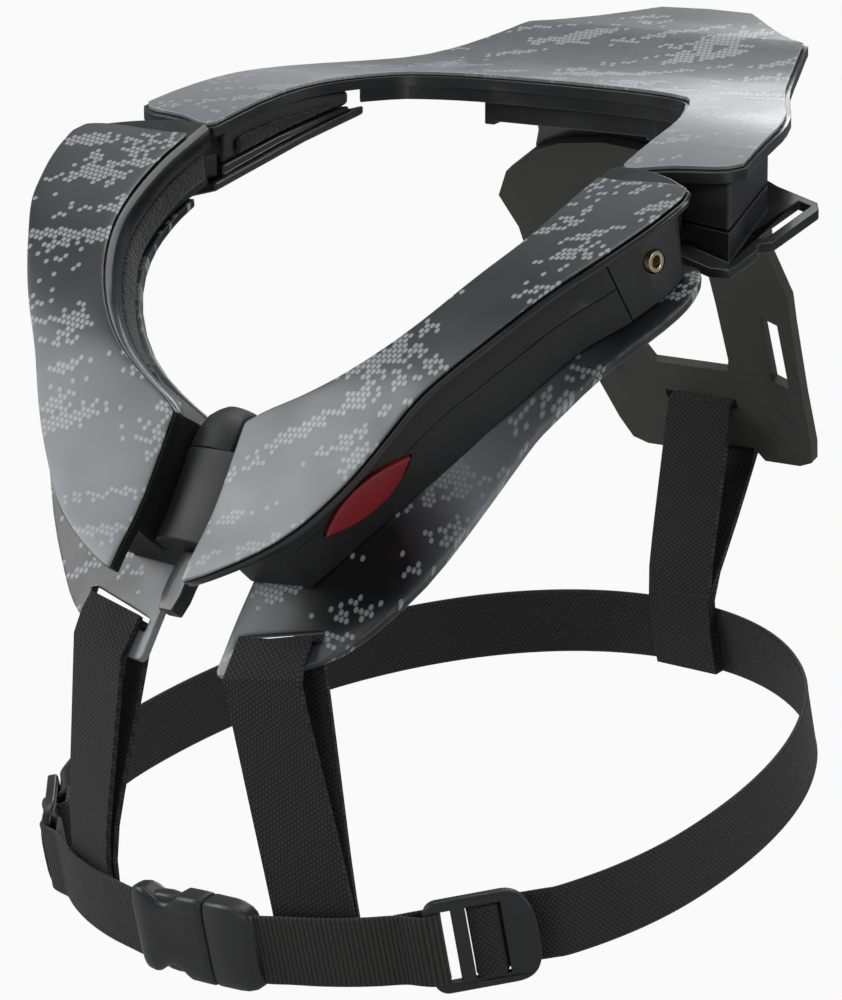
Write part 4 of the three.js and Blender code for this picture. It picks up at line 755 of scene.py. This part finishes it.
@dataclass
class Webbing:
    """A strap rebuilt along the route of its solid, with a rounded, woven section."""

    width: float
    wall: float = 1.8
    step: float = 1.6
    across: int = 12
    selvedge: float = 0.25

    def rings_of(self, node: str) -> tuple[list[np.ndarray], bool]:
        """Finds the strap's sections in order.

        Args:
            node: The solid's name.

        Returns:
            The sections, each with four corners in millimetres, and whether they close in a loop.
        """
        mesh = bmesh.new()
        mesh.from_mesh(frame["nodes"][node].data)
        bmesh.ops.remove_doubles(mesh, verts=mesh.verts, dist=1e-6)
        mesh.verts.ensure_lookup_table()
        near = 0.03
        owner = list(range(len(mesh.verts)))

        def root(index: int) -> int:
            """Finds the section that a corner belongs to."""
            while owner[index] != index:
                index = owner[index]
            return index

        lengths = {edge: edge.calc_length() / MM for edge in mesh.edges}
        for edge, length in lengths.items():
            if abs(length - self.width) < near or abs(length - self.wall) < near:
                owner[root(edge.verts[0].index)] = root(edge.verts[1].index)
        rings: dict[int, list[int]] = {}
        for vert in mesh.verts:
            rings.setdefault(root(vert.index), []).append(vert.index)
        if any(len(ring) != 4 for ring in rings.values()):
            mesh.free()
            return [], False
        beside: dict[int, set[int]] = {key: set() for key in rings}
        for edge in mesh.edges:
            first, second = (root(vert.index) for vert in edge.verts)
            if first != second:
                beside[first].add(second)
                beside[second].add(first)
        ends = [key for key, others in beside.items() if len(others) == 1]
        closed = not ends
        order = [ends[0] if ends else next(iter(rings))]
        while True:
            ahead = [key for key in beside[order[-1]] if key not in order]
            if not ahead:
                break
            order.append(ahead[0])
        corners = [np.array([tuple(mesh.verts[index].co) for index in rings[key]]) / MM for key in order]
        mesh.free()
        return (corners, closed) if len(order) == len(rings) else ([], False)

    def frames_of(self, corners: list[np.ndarray]) -> list[tuple[np.ndarray, np.ndarray]]:
        """Gives each section's middle and its direction across the strap.

        Args:
            corners: The sections' corners in order.

        Returns:
            Pairs of a middle and a unit vector across.
        """
        found = []
        for ring in corners:
            gaps = [(abs(np.linalg.norm(ring[other] - ring[0]) - self.width), other) for other in (1, 2, 3)]
            across = ring[min(gaps)[1]] - ring[0]
            across = across / np.linalg.norm(across)
            if found and np.dot(across, found[-1][1]) < 0:
                across = -across
            found.append((ring.mean(axis=0), across))
        return found

    def section(self) -> np.ndarray:
        """Gives the section's outline as shares: across from -0.5 to 0.5, and through the wall."""
        half = self.width / 2
        thick = self.wall / 2
        turn = np.linspace(-math.pi / 2, math.pi / 2, 5)
        edge = [(half - thick + thick * math.cos(a), thick * math.sin(a)) for a in turn]
        flat = np.linspace(half - thick, -(half - thick), self.across)[1:-1]
        top = [(x, thick - self.selvedge * (1 - (abs(x) / half) ** 8) * 0.5) for x in flat]
        points = edge + top + [(-x, -y) for x, y in edge] + [(-x, -y) for x, y in top]
        return np.array(points)

    def build(self, node: str, material: bpy.types.Material) -> bpy.types.Object:
        """Makes the strap.

        Args:
            node: The solid's name.
            material: Its finish.

        Returns:
            The piece.
        """
        corners, closed = self.rings_of(node)
        if not corners:
            LOG.warning("%s: its sections were not found, so its own form is used", node)
            obj = moulded(node, Shaping(Crown.SMOOTH, 0.5), material)
            unroll_strap(obj)
            return obj
        route = self.frames_of(corners)
        middles = np.array([middle for middle, _ in route])
        acrosses = np.array([across for _, across in route])
        if closed:
            if np.dot(acrosses[-1], acrosses[0]) < 0:
                LOG.warning("%s: the strap turns over", node)
            middles = np.vstack([middles[-1:], middles, middles[:2]])
            acrosses = np.vstack([acrosses[-1:], acrosses, acrosses[:2]])
        else:
            middles = np.vstack([2 * middles[0] - middles[1], middles, 2 * middles[-1] - middles[-2]])
            acrosses = np.vstack([acrosses[:1], acrosses, acrosses[-1:]])
        places, sides = [], []
        for index in range(1, len(middles) - 2):
            quad = middles[index - 1:index + 3]
            count = max(1, round(float(np.linalg.norm(quad[2] - quad[1])) / self.step))
            for part in range(count):
                share = part / count
                places.append(curve_point(quad, share))
                sides.append(acrosses[index] * (1 - share) + acrosses[index + 1] * share)
        if not closed:
            places.append(middles[-2])
            sides.append(acrosses[-2])
        places, sides = np.array(places), np.array(sides)
        sides /= np.linalg.norm(sides, axis=1)[:, None]
        ahead = np.roll(places, -1, axis=0) - np.roll(places, 1, axis=0)
        if not closed:
            ahead[0] = places[1] - places[0]
            ahead[-1] = places[-1] - places[-2]
        outs = np.cross(ahead, sides)
        outs /= np.linalg.norm(outs, axis=1)[:, None]
        travelled = np.concatenate([[0.0], np.cumsum(np.linalg.norm(np.diff(places, axis=0), axis=1))])
        return self.skin(node, material, places, sides, outs, travelled, closed)

    def skin(self, node: str, material: bpy.types.Material, places: np.ndarray, sides: np.ndarray,
             outs: np.ndarray, travelled: np.ndarray, closed: bool) -> bpy.types.Object:
        """Sweeps the section along the route.

        Args:
            node: The solid's name.
            material: The finish.
            places: The route's points in millimetres.
            sides: Unit vectors across the strap.
            outs: Unit vectors out of its face.
            travelled: The length along the route at each point.
            closed: Whether the route is a loop.

        Returns:
            The piece.
        """
        outline = self.section()
        mesh = bmesh.new()
        uv = mesh.loops.layers.uv.new("route")
        rows = [
            [mesh.verts.new(Vector(place + side * x + out * y) * MM) for x, y in outline]
            for place, side, out in zip(places, sides, outs)
        ]
        step = travelled[-1] - travelled[-2]
        count = len(rows) if closed else len(rows) - 1
        for index in range(count):
            first, second = rows[index], rows[(index + 1) % len(rows)]
            start, end = travelled[index], travelled[index + 1] if index + 1 < len(rows) else travelled[-1] + step
            for spot in range(len(outline)):
                after = (spot + 1) % len(outline)
                face = mesh.faces.new((first[spot], first[after], second[after], second[spot]))
                values = ((start, spot), (start, after), (end, after), (end, spot))
                for loop, (along, corner) in zip(face.loops, values):
                    loop[uv].uv = (along, outline[corner][0])
        if not closed:
            mesh.faces.new(rows[0])
            mesh.faces.new(list(reversed(rows[-1])))
        bmesh.ops.recalc_face_normals(mesh, faces=mesh.faces)
        data = bpy.data.meshes.new(f"{node}_form")
        mesh.to_mesh(data)
        mesh.free()
        data.materials.append(material)
        data.shade_smooth()
        return stand_in(add_object(f"{node}_form", data), node)


def curve_point(quad: np.ndarray, share: float) -> np.ndarray:
    """Gives a point between the middle two of four points, on a smooth curve through all.

    Args:
        quad: The four points.
        share: How far along the middle stretch.

    Returns:
        The point.
    """
    before, first, second, after = quad
    return 0.5 * (2 * first + (second - before) * share
                  + (2 * before - 5 * first + 4 * second - after) * share ** 2
                  + (3 * first - before - 3 * second + after) * share ** 3)


def unroll_strap(obj: bpy.types.Object) -> None:
    """Lays out a strap's weave in millimetres by height and x."""
    layer = obj.data.uv_layers.new(name="route")
    for loop in obj.data.loops:
        place = obj.data.vertices[loop.vertex_index].co / MM
        layer.data[loop.index].uv = (place.z, place.x)


@dataclass
class Pad:
    """A neck pad of looped pile, swollen by a cloth simulation."""

    voxel: float = 1.1
    shrink: float = 0.3
    pressure: float = 4.0
    cap: float = 0.7
    frames: int = 20
    fill: float = 0.7

    def build(self, node: str, material: bpy.types.Material) -> bpy.types.Object:
        """Makes the pad.

        Args:
            node: The solid's name.
            material: Its finish.

        Returns:
            The piece.
        """
        obj = copy_of(node)
        obj.data.materials.append(material)
        Shaping(Crown.SMOOTH, 1.6, 2).apply(obj)
        self.draw_in(obj)
        self.swell(obj)
        obj.data.shade_smooth()
        return stand_in(obj, node)

    def draw_in(self, obj: bpy.types.Object) -> None:
        """Moves the surface inwards, to leave room for the swelling."""
        for vert in obj.data.vertices:
            vert.co -= vert.normal * self.shrink * MM

    def swell(self, obj: bpy.types.Object) -> None:
        """Remeshes the pad evenly and lets pressure round it.

        Args:
            obj: The pad.
        """
        remesh = obj.modifiers.new("even", "REMESH")
        remesh.mode = "VOXEL"
        remesh.voxel_size = self.voxel * MM
        settle(obj)
        start = [vert.co.copy() for vert in obj.data.vertices]
        cloth = obj.modifiers.new("cloth", "CLOTH")
        cloth.settings.use_pressure = True
        cloth.settings.uniform_pressure_force = self.pressure
        cloth.settings.effector_weights.gravity = 0.0
        cloth.point_cache.frame_start = 1
        cloth.point_cache.frame_end = self.frames
        scene = bpy.context.scene
        for number in range(1, self.frames + 1):
            scene.frame_set(number)
        settle(obj)
        for vert, place in zip(obj.data.vertices, start):
            moved = vert.co - place
            if moved.length > self.cap * MM:
                vert.co = place + moved.normalized() * self.cap * MM
        scene.frame_set(1)
        obj.modifiers.new("fine", "SUBSURF").levels = 1
        settle(obj)


@dataclass
class RearTable:
    """The table behind the neck, with its printed cover, arms and back bracket."""

    palette: Palette
    cover: Shaping = Shaping(bevel=0.45)
    shell: Shaping = Shaping(bevel=0.8)
    block: Shaping = Shaping(bevel=1.6, segments=4)
    plate: Shaping = Shaping(bevel=0.9)
    pad: Pad = field(default_factory=Pad)

    def build(self) -> None:
        """Makes the table, its arms and the bracket."""
        # The cover's rounded edges take the painted edge highlight finish.
        cover = moulded("rear_table_print", self.cover, self.palette.table_print, self.palette.print_edge_highlight)
        unroll(cover)
        moulded("rear_shell", self.shell, self.palette.shell)
        moulded("back_bracket", self.block, self.palette.shell)
        for side in SIDES:
            moulded(f"arm_block_{side}", self.block, self.palette.core)
            moulded(f"arm_base_plate_{side}", self.plate, self.palette.shell)
            moulded(f"hinge_link_{side}", self.plate, self.palette.core)
            self.pad.build(f"arm_pad_{side}", self.palette.pile)


@dataclass
class BackPlate:
    """The leaning plate on the wearer's back."""

    palette: Palette
    plate: Shaping = Shaping(bevel=1.1, segments=3, edge_angle=24.0)
    tongue: Shaping = Shaping(bevel=0.8)
    screw: Shaping = Shaping(bevel=0.3, segments=2)

    def build(self) -> None:
        """Makes the plate, its tongue and its screw."""
        moulded("back_plate", self.plate, self.palette.back)
        moulded("back_tongue", self.tongue, self.palette.shell)
        moulded("back_screw", self.screw, self.palette.screw)


@dataclass
class FrontHalf:
    """One hinged front half."""

    palette: Palette
    side: str
    cover: Shaping = Shaping(Crown.FINE, 0.4, 1)
    shell: Shaping = Shaping(Crown.FINE, 0.6, 1)
    core: Shaping = Shaping(Crown.SMOOTH, 0.6, 2)
    plate: Shaping = Shaping(Crown.SMOOTH, 0.6, 2)
    pin: Shaping = Shaping(bevel=0.35, segments=2)
    pad: Pad = field(default_factory=Pad)

    def build(self) -> None:
        """Makes the half's pieces."""
        palette, side = self.palette, self.side
        cover = moulded(f"front_print_{side}", self.cover, palette.front_print)
        unroll(cover)
        moulded(f"front_shell_{side}", self.shell, palette.shell)
        for piece in ("core_upper", "core_lower", "hinge_block"):
            moulded(f"{piece}_{side}", self.core, palette.core)
        # The lower plate's print carries a painted shadow of the core.
        plate = moulded(f"front_base_plate_{side}", self.plate, palette.lower_print_and_shadow[side])
        unroll(plate)
        moulded(f"hinge_pin_{side}", self.pin, palette.pin)
        self.pad.build(f"front_pad_{side}", palette.pile)


@dataclass
class Latch:
    """The latch between the front halves, with its red button."""

    palette: Palette
    cover: Shaping = Shaping(Crown.SMOOTH, 0.7, 2)
    button: Shaping = Shaping(Crown.FINE, 0.8, 1)
    bar: Shaping = Shaping(bevel=0.7)

    def build(self) -> None:
        """Makes the latch's pieces and the button."""
        moulded("latch_cover", self.cover, self.palette.core)
        moulded("latch_head", self.cover, self.palette.core)
        moulded("latch_bar", self.bar, self.palette.shell)
        moulded("latch_knob", self.bar, self.palette.hardware)
        moulded("release_button", self.button, self.palette.button)


@dataclass
class ChestLoop:
    """The route of the chest loop, in millimetres."""

    half_width: float = 130.0
    front: float = 111.0
    back: float = 142.0
    height: float = -183.0
    slope: float = 0.25
    power: float = 2 / 2.1
    nudge: float = 0.004

    def point(self, turn: float) -> Vector:
        """Gives a point of the loop.

        Args:
            turn: The share of the way round, from the wearer's left towards the back.

        Returns:
            The point.
        """
        side, ahead = math.cos(turn * math.tau), math.sin(turn * math.tau)
        x = math.copysign(abs(side) ** self.power, side) * self.half_width
        y = math.copysign(abs(ahead) ** self.power, ahead) * (self.back if ahead > 0 else self.front)
        return Vector((x, y, self.height + self.slope * y))

    def frame(self, turn: float, lift: float) -> Matrix:
        """Gives the frame of a fitting: along the loop, across the webbing, and outwards.

        Args:
            turn: Where the fitting sits.
            lift: How far it sits out from the route.

        Returns:
            The frame, in millimetres.
        """
        along = (self.point(turn + self.nudge) - self.point(turn - self.nudge)).normalized()
        across = Vector((0.0, -self.slope, 1.0)).normalized()
        out = along.cross(across).normalized()
        place = self.point(turn) + out * lift
        frame_of = Matrix((along, across, out)).transposed().to_4x4()
        frame_of.translation = place
        return frame_of


def place_fitting(obj: bpy.types.Object, setting: Matrix) -> None:
    """Moves a fitting's mesh from its own millimetres to its place.

    Args:
        obj: The fitting.
        setting: Its frame, in millimetres.
    """
    obj.data.transform(Matrix.Scale(MM, 4) @ setting)
    obj.data.shade_smooth()
    obj.data.set_sharp_from_angle(angle=math.radians(48))


@dataclass
class LadderLock:
    """A strap adjuster: three bars in a frame with a thumb tab."""

    half_length: float = 17.2
    half_width: float = 15.6
    window: float = 13.4
    windows: tuple[tuple[float, float], ...] = ((-15.0, -8.2), (-5.0, -1.2), (4.2, 8.0))
    tab_start: float = 8.0
    tab_lift: float = 2.6
    wall: float = 3.4
    rounding: float = 0.8

    def outline(self) -> list[tuple[float, float]]:
        """Gives the frame's outline, with a round thumb tab at its far end."""
        corner = 4.0
        reach = self.half_length - self.tab_start
        turns = [math.pi / 2 * step / 10 for step in range(11)]
        tab = [(self.tab_start + reach * math.sin(a) ** 0.9, self.half_width * math.cos(a) ** 0.62) for a in turns]
        start = [(-self.half_length + corner * (1 - math.sin(a)), self.half_width - corner * (1 - math.cos(a)))
                 for a in reversed(turns)]
        upper = start + tab
        return upper + [(x, -y) for x, y in reversed(upper) if y > 0.01]

    def build(self, node: str, setting: Matrix, material: bpy.types.Material) -> bpy.types.Object:
        """Makes the lock.

        Args:
            node: The solid that it stands for.
            setting: Its frame.
            material: Its finish.

        Returns:
            The piece.
        """
        curve = bpy.data.curves.new(f"{node}_outline", "CURVE")
        curve.dimensions = "2D"
        curve.fill_mode = "BOTH"
        curve.extrude = self.wall / 2 - self.rounding
        curve.bevel_depth = self.rounding
        curve.bevel_resolution = 3
        holes = [[(a, self.window), (b, self.window), (b, -self.window), (a, -self.window)] for a, b in self.windows]
        for points in [self.outline(), *holes]:
            spline = curve.splines.new("POLY")
            spline.points.add(len(points) - 1)
            for point, (x, y) in zip(spline.points, points):
                point.co = (x, y, 0.0, 1.0)
            spline.use_cyclic_u = True
        holder = bpy.data.objects.new(f"{node}_outline", curve)
        bpy.context.scene.collection.objects.link(holder)
        bpy.context.view_layer.update()
        mesh = bpy.data.meshes.new_from_object(holder.evaluated_get(bpy.context.evaluated_depsgraph_get()))
        bpy.data.objects.remove(holder)
        work = bmesh.new()
        work.from_mesh(mesh)
        bmesh.ops.remove_doubles(work, verts=work.verts, dist=0.01)
        for vert in work.verts:
            past = max(0.0, vert.co.x - self.tab_start) / (self.half_length - self.tab_start)
            vert.co.z += self.tab_lift * past * past
        work.to_mesh(mesh)
        work.free()
        mesh.materials.clear()
        mesh.materials.append(material)
        obj = add_object(f"{node}_form", mesh)
        place_fitting(obj, setting)
        return stand_in(obj, node)


@dataclass
class Buckle:
    """A side-release buckle, shown fastened.

    A section is a place along the buckle with half its width and half its thickness there.
    """

    socket: tuple[tuple[float, float, float], ...] = (
        (-26.8, 13.2, 2.6), (-26.2, 14.6, 3.4), (-24.5, 15.4, 4.2), (-21.5, 15.7, 4.9), (-19.5, 15.2, 5.1),
        (-17.0, 13.6, 5.2), (-14.0, 12.2, 5.3), (-11.0, 11.9, 5.3), (-8.0, 12.8, 5.4), (-5.6, 14.9, 5.4),
        (-4.0, 15.8, 5.5), (3.0, 15.9, 5.5), (5.6, 15.9, 5.4), (6.3, 15.5, 5.0), (6.6, 14.8, 4.4),
    )
    plug: tuple[tuple[float, float, float], ...] = (
        (6.9, 14.6, 4.2), (7.3, 15.4, 4.9), (8.0, 15.8, 5.2), (17.0, 15.8, 5.0), (20.5, 15.5, 4.7),
        (23.5, 14.6, 4.2), (25.6, 13.2, 3.5), (26.6, 11.6, 2.7),
    )
    prong: tuple[tuple[float, float, float], ...] = (
        (-19.4, 0.5, 0.9), (-18.2, 1.4, 2.0), (-15.0, 2.3, 2.8), (-11.0, 2.6, 3.0), (-7.0, 2.2, 2.8),
        (-4.6, 1.2, 2.0), (-4.0, 0.5, 0.9),
    )
    prong_across: float = 12.2
    squareness: float = 5.0
    ring_points: int = 44

    def loft(self, mesh: bmesh.types.BMesh, sections: tuple, across: float, squareness: float) -> None:
        """Adds a closed form through sections.

        Args:
            mesh: The mesh that it is added to.
            sections: Places along with half widths and half thicknesses.
            across: Where its middle is across the webbing.
            squareness: How square a section is, 2 for an ellipse.
        """
        rings = []
        for along, half_width, half_thick in sections:
            ring = []
            for step in range(self.ring_points):
                turn = math.tau * step / self.ring_points
                side, up = math.cos(turn), math.sin(turn)
                size = (abs(side) ** squareness + abs(up) ** squareness) ** (-1 / squareness)
                ring.append(mesh.verts.new((along, across + side * size * half_width, up * size * half_thick)))
            rings.append(ring)
        for first, second in zip(rings, rings[1:]):
            for step in range(self.ring_points):
                after = (step + 1) % self.ring_points
                mesh.faces.new((first[step], first[after], second[after], second[step]))
        mesh.faces.new(rings[0])
        mesh.faces.new(list(reversed(rings[-1])))

    def build(self, setting: Matrix, material: bpy.types.Material) -> None:
        """Makes the socket, and the plug with its prongs.

        Args:
            setting: The buckle's frame.
            material: The finish.
        """
        parts = {
            "buckle_socket": ((self.socket, 0.0, self.squareness),),
            "buckle_plug": ((self.plug, 0.0, self.squareness), (self.prong, self.prong_across, 2.4),
                            (self.prong, -self.prong_across, 2.4)),
        }
        for node, forms in parts.items():
            mesh = bmesh.new()
            for sections, across, squareness in forms:
                self.loft(mesh, sections, across, squareness)
            bmesh.ops.recalc_face_normals(mesh, faces=mesh.faces)
            data = bpy.data.meshes.new(f"{node}_form")
            mesh.to_mesh(data)
            mesh.free()
            data.materials.append(material)
            obj = add_object(f"{node}_form", data)
            place_fitting(obj, setting)
            stand_in(obj, node)


@dataclass
class Harness:
    """The hanging straps, the chest loop and its hardware."""

    palette: Palette
    hanging: Webbing = field(default_factory=lambda: Webbing(29.0))
    chest: Webbing = field(default_factory=lambda: Webbing(25.0))
    loop: ChestLoop = field(default_factory=ChestLoop)
    lock: LadderLock = field(default_factory=LadderLock)
    buckle: Buckle = field(default_factory=Buckle)

    def build(self) -> None:
        """Makes the straps, the ladder locks and the buckle."""
        for node in ("front_strap_left", "front_strap_right", "rear_strap"):
            self.hanging.build(node, self.palette.webbing)
        for node in ("chest_strap_near", "chest_strap_far"):
            self.chest.build(node, self.palette.ribbed_webbing)
        self.chest.build("chest_strap_rear", self.palette.chest_webbing)
        self.lock.build("ladder_lock_near", self.loop.frame(0.888, 0.0), self.palette.hardware)
        self.lock.build("ladder_lock_far", self.loop.frame(0.612, -0.7), self.palette.hardware)
        self.buckle.build(self.loop.frame(0.7585, -1.5), self.palette.hardware)


@dataclass
class Studio:
    """The pale floor, soft lights and the photograph's camera."""

    floor_gap: float = 0.03
    reach: float = 12.0
    lens: float = 180.0
    camera_place: tuple[float, float, float] = (1.1468, -1.2249, 0.2319)
    camera_target: tuple[float, float, float] = (-0.07, 0.08, -0.1)
    lights: tuple[tuple[str, tuple[float, float, float], float, float], ...] = (
        ("overhead", (-0.2, 0.1, 1.5), 1.3, 16.0),
        ("left_soft", (-1.3, -0.9, 0.7), 0.8, 11.0),
        ("right_soft", (1.5, 0.3, 0.6), 0.6, 8.0),
        ("front_fill", (0.5, -1.9, 0.3), 0.7, 4.5),
        ("back_rim", (-0.7, 1.4, 0.8), 0.7, 6.0),
    )

    def build(self) -> None:
        """Makes the stage, the lights and the camera."""
        self.floor()
        for name, place, size, power in self.lights:
            self.light(name, place, size, power)
        self.camera()
        world = bpy.data.worlds.new("studio")
        bpy.context.scene.world = world
        world.use_nodes = True
        wiring = Wiring(world.node_tree)
        lit = world.node_tree.nodes["Background"]
        lit.inputs[0].default_value = (0.9, 0.93, 1.0, 1.0)
        lit.inputs[1].default_value = 0.2
        seen = wiring.add("ShaderNodeBackground", {"Color": (StageFinish().seen,) * 3, "Strength": 1.0})
        path = wiring.add("ShaderNodeLightPath").outputs["Is Camera Ray"]
        mix = wiring.add("ShaderNodeMixShader", {0: path, 1: lit.outputs[0], 2: seen.outputs[0]})
        wiring.put(world.node_tree.nodes["World Output"].inputs[0], mix.outputs[0])
        bpy.context.scene.view_settings.view_transform = "Standard"

    def floor(self) -> None:
        """Makes the floor as a wide round sheet."""
        mesh = bmesh.new()
        level = CAD_BOX[0][2] - self.floor_gap
        bmesh.ops.create_circle(mesh, cap_ends=True, segments=96, radius=self.reach)
        for vert in mesh.verts:
            vert.co.z = level
        data = bpy.data.meshes.new("floor")
        mesh.to_mesh(data)
        mesh.free()
        data.materials.append(StageFinish().build())
        floor = add_object("floor", data)

    def light(self, name: str, place: tuple[float, float, float], size: float, power: float) -> None:
        """Adds a soft square light that faces the brace.

        Args:
            name: The light's name.
            place: Where it stands.
            size: Its side.
            power: Its power in watts.
        """
        data = bpy.data.lights.new(name, "AREA")
        data.size = size
        data.energy = power
        lamp = bpy.data.objects.new(name, data)
        lamp.location = place
        lamp.rotation_euler = (Vector((0, 0, -0.05)) - Vector(place)).to_track_quat("-Z", "Y").to_euler()
        bpy.context.scene.collection.objects.link(lamp)

    def camera(self) -> None:
        """Adds the camera of the photograph."""
        data = bpy.data.cameras.new("photo_camera")
        data.lens = self.lens
        data.sensor_width = 36.0
        camera = bpy.data.objects.new("photo_camera", data)
        camera.location = self.camera_place
        way = Vector(self.camera_target) - Vector(self.camera_place)
        camera.rotation_euler = way.to_track_quat("-Z", "Y").to_euler()
        bpy.context.scene.collection.objects.link(camera)
        bpy.context.scene.camera = camera


def main() -> None:
    """Builds the brace and its studio."""
    logging.basicConfig(level=logging.INFO, format="%(name)s %(message)s")
    palette = Palette()
    Studio().build()
    RearTable(palette).build()
    BackPlate(palette).build()
    for side in SIDES:
        FrontHalf(palette, side).build()
    Latch(palette).build()
    Harness(palette).build()


if __name__ == "__main__":
    main()
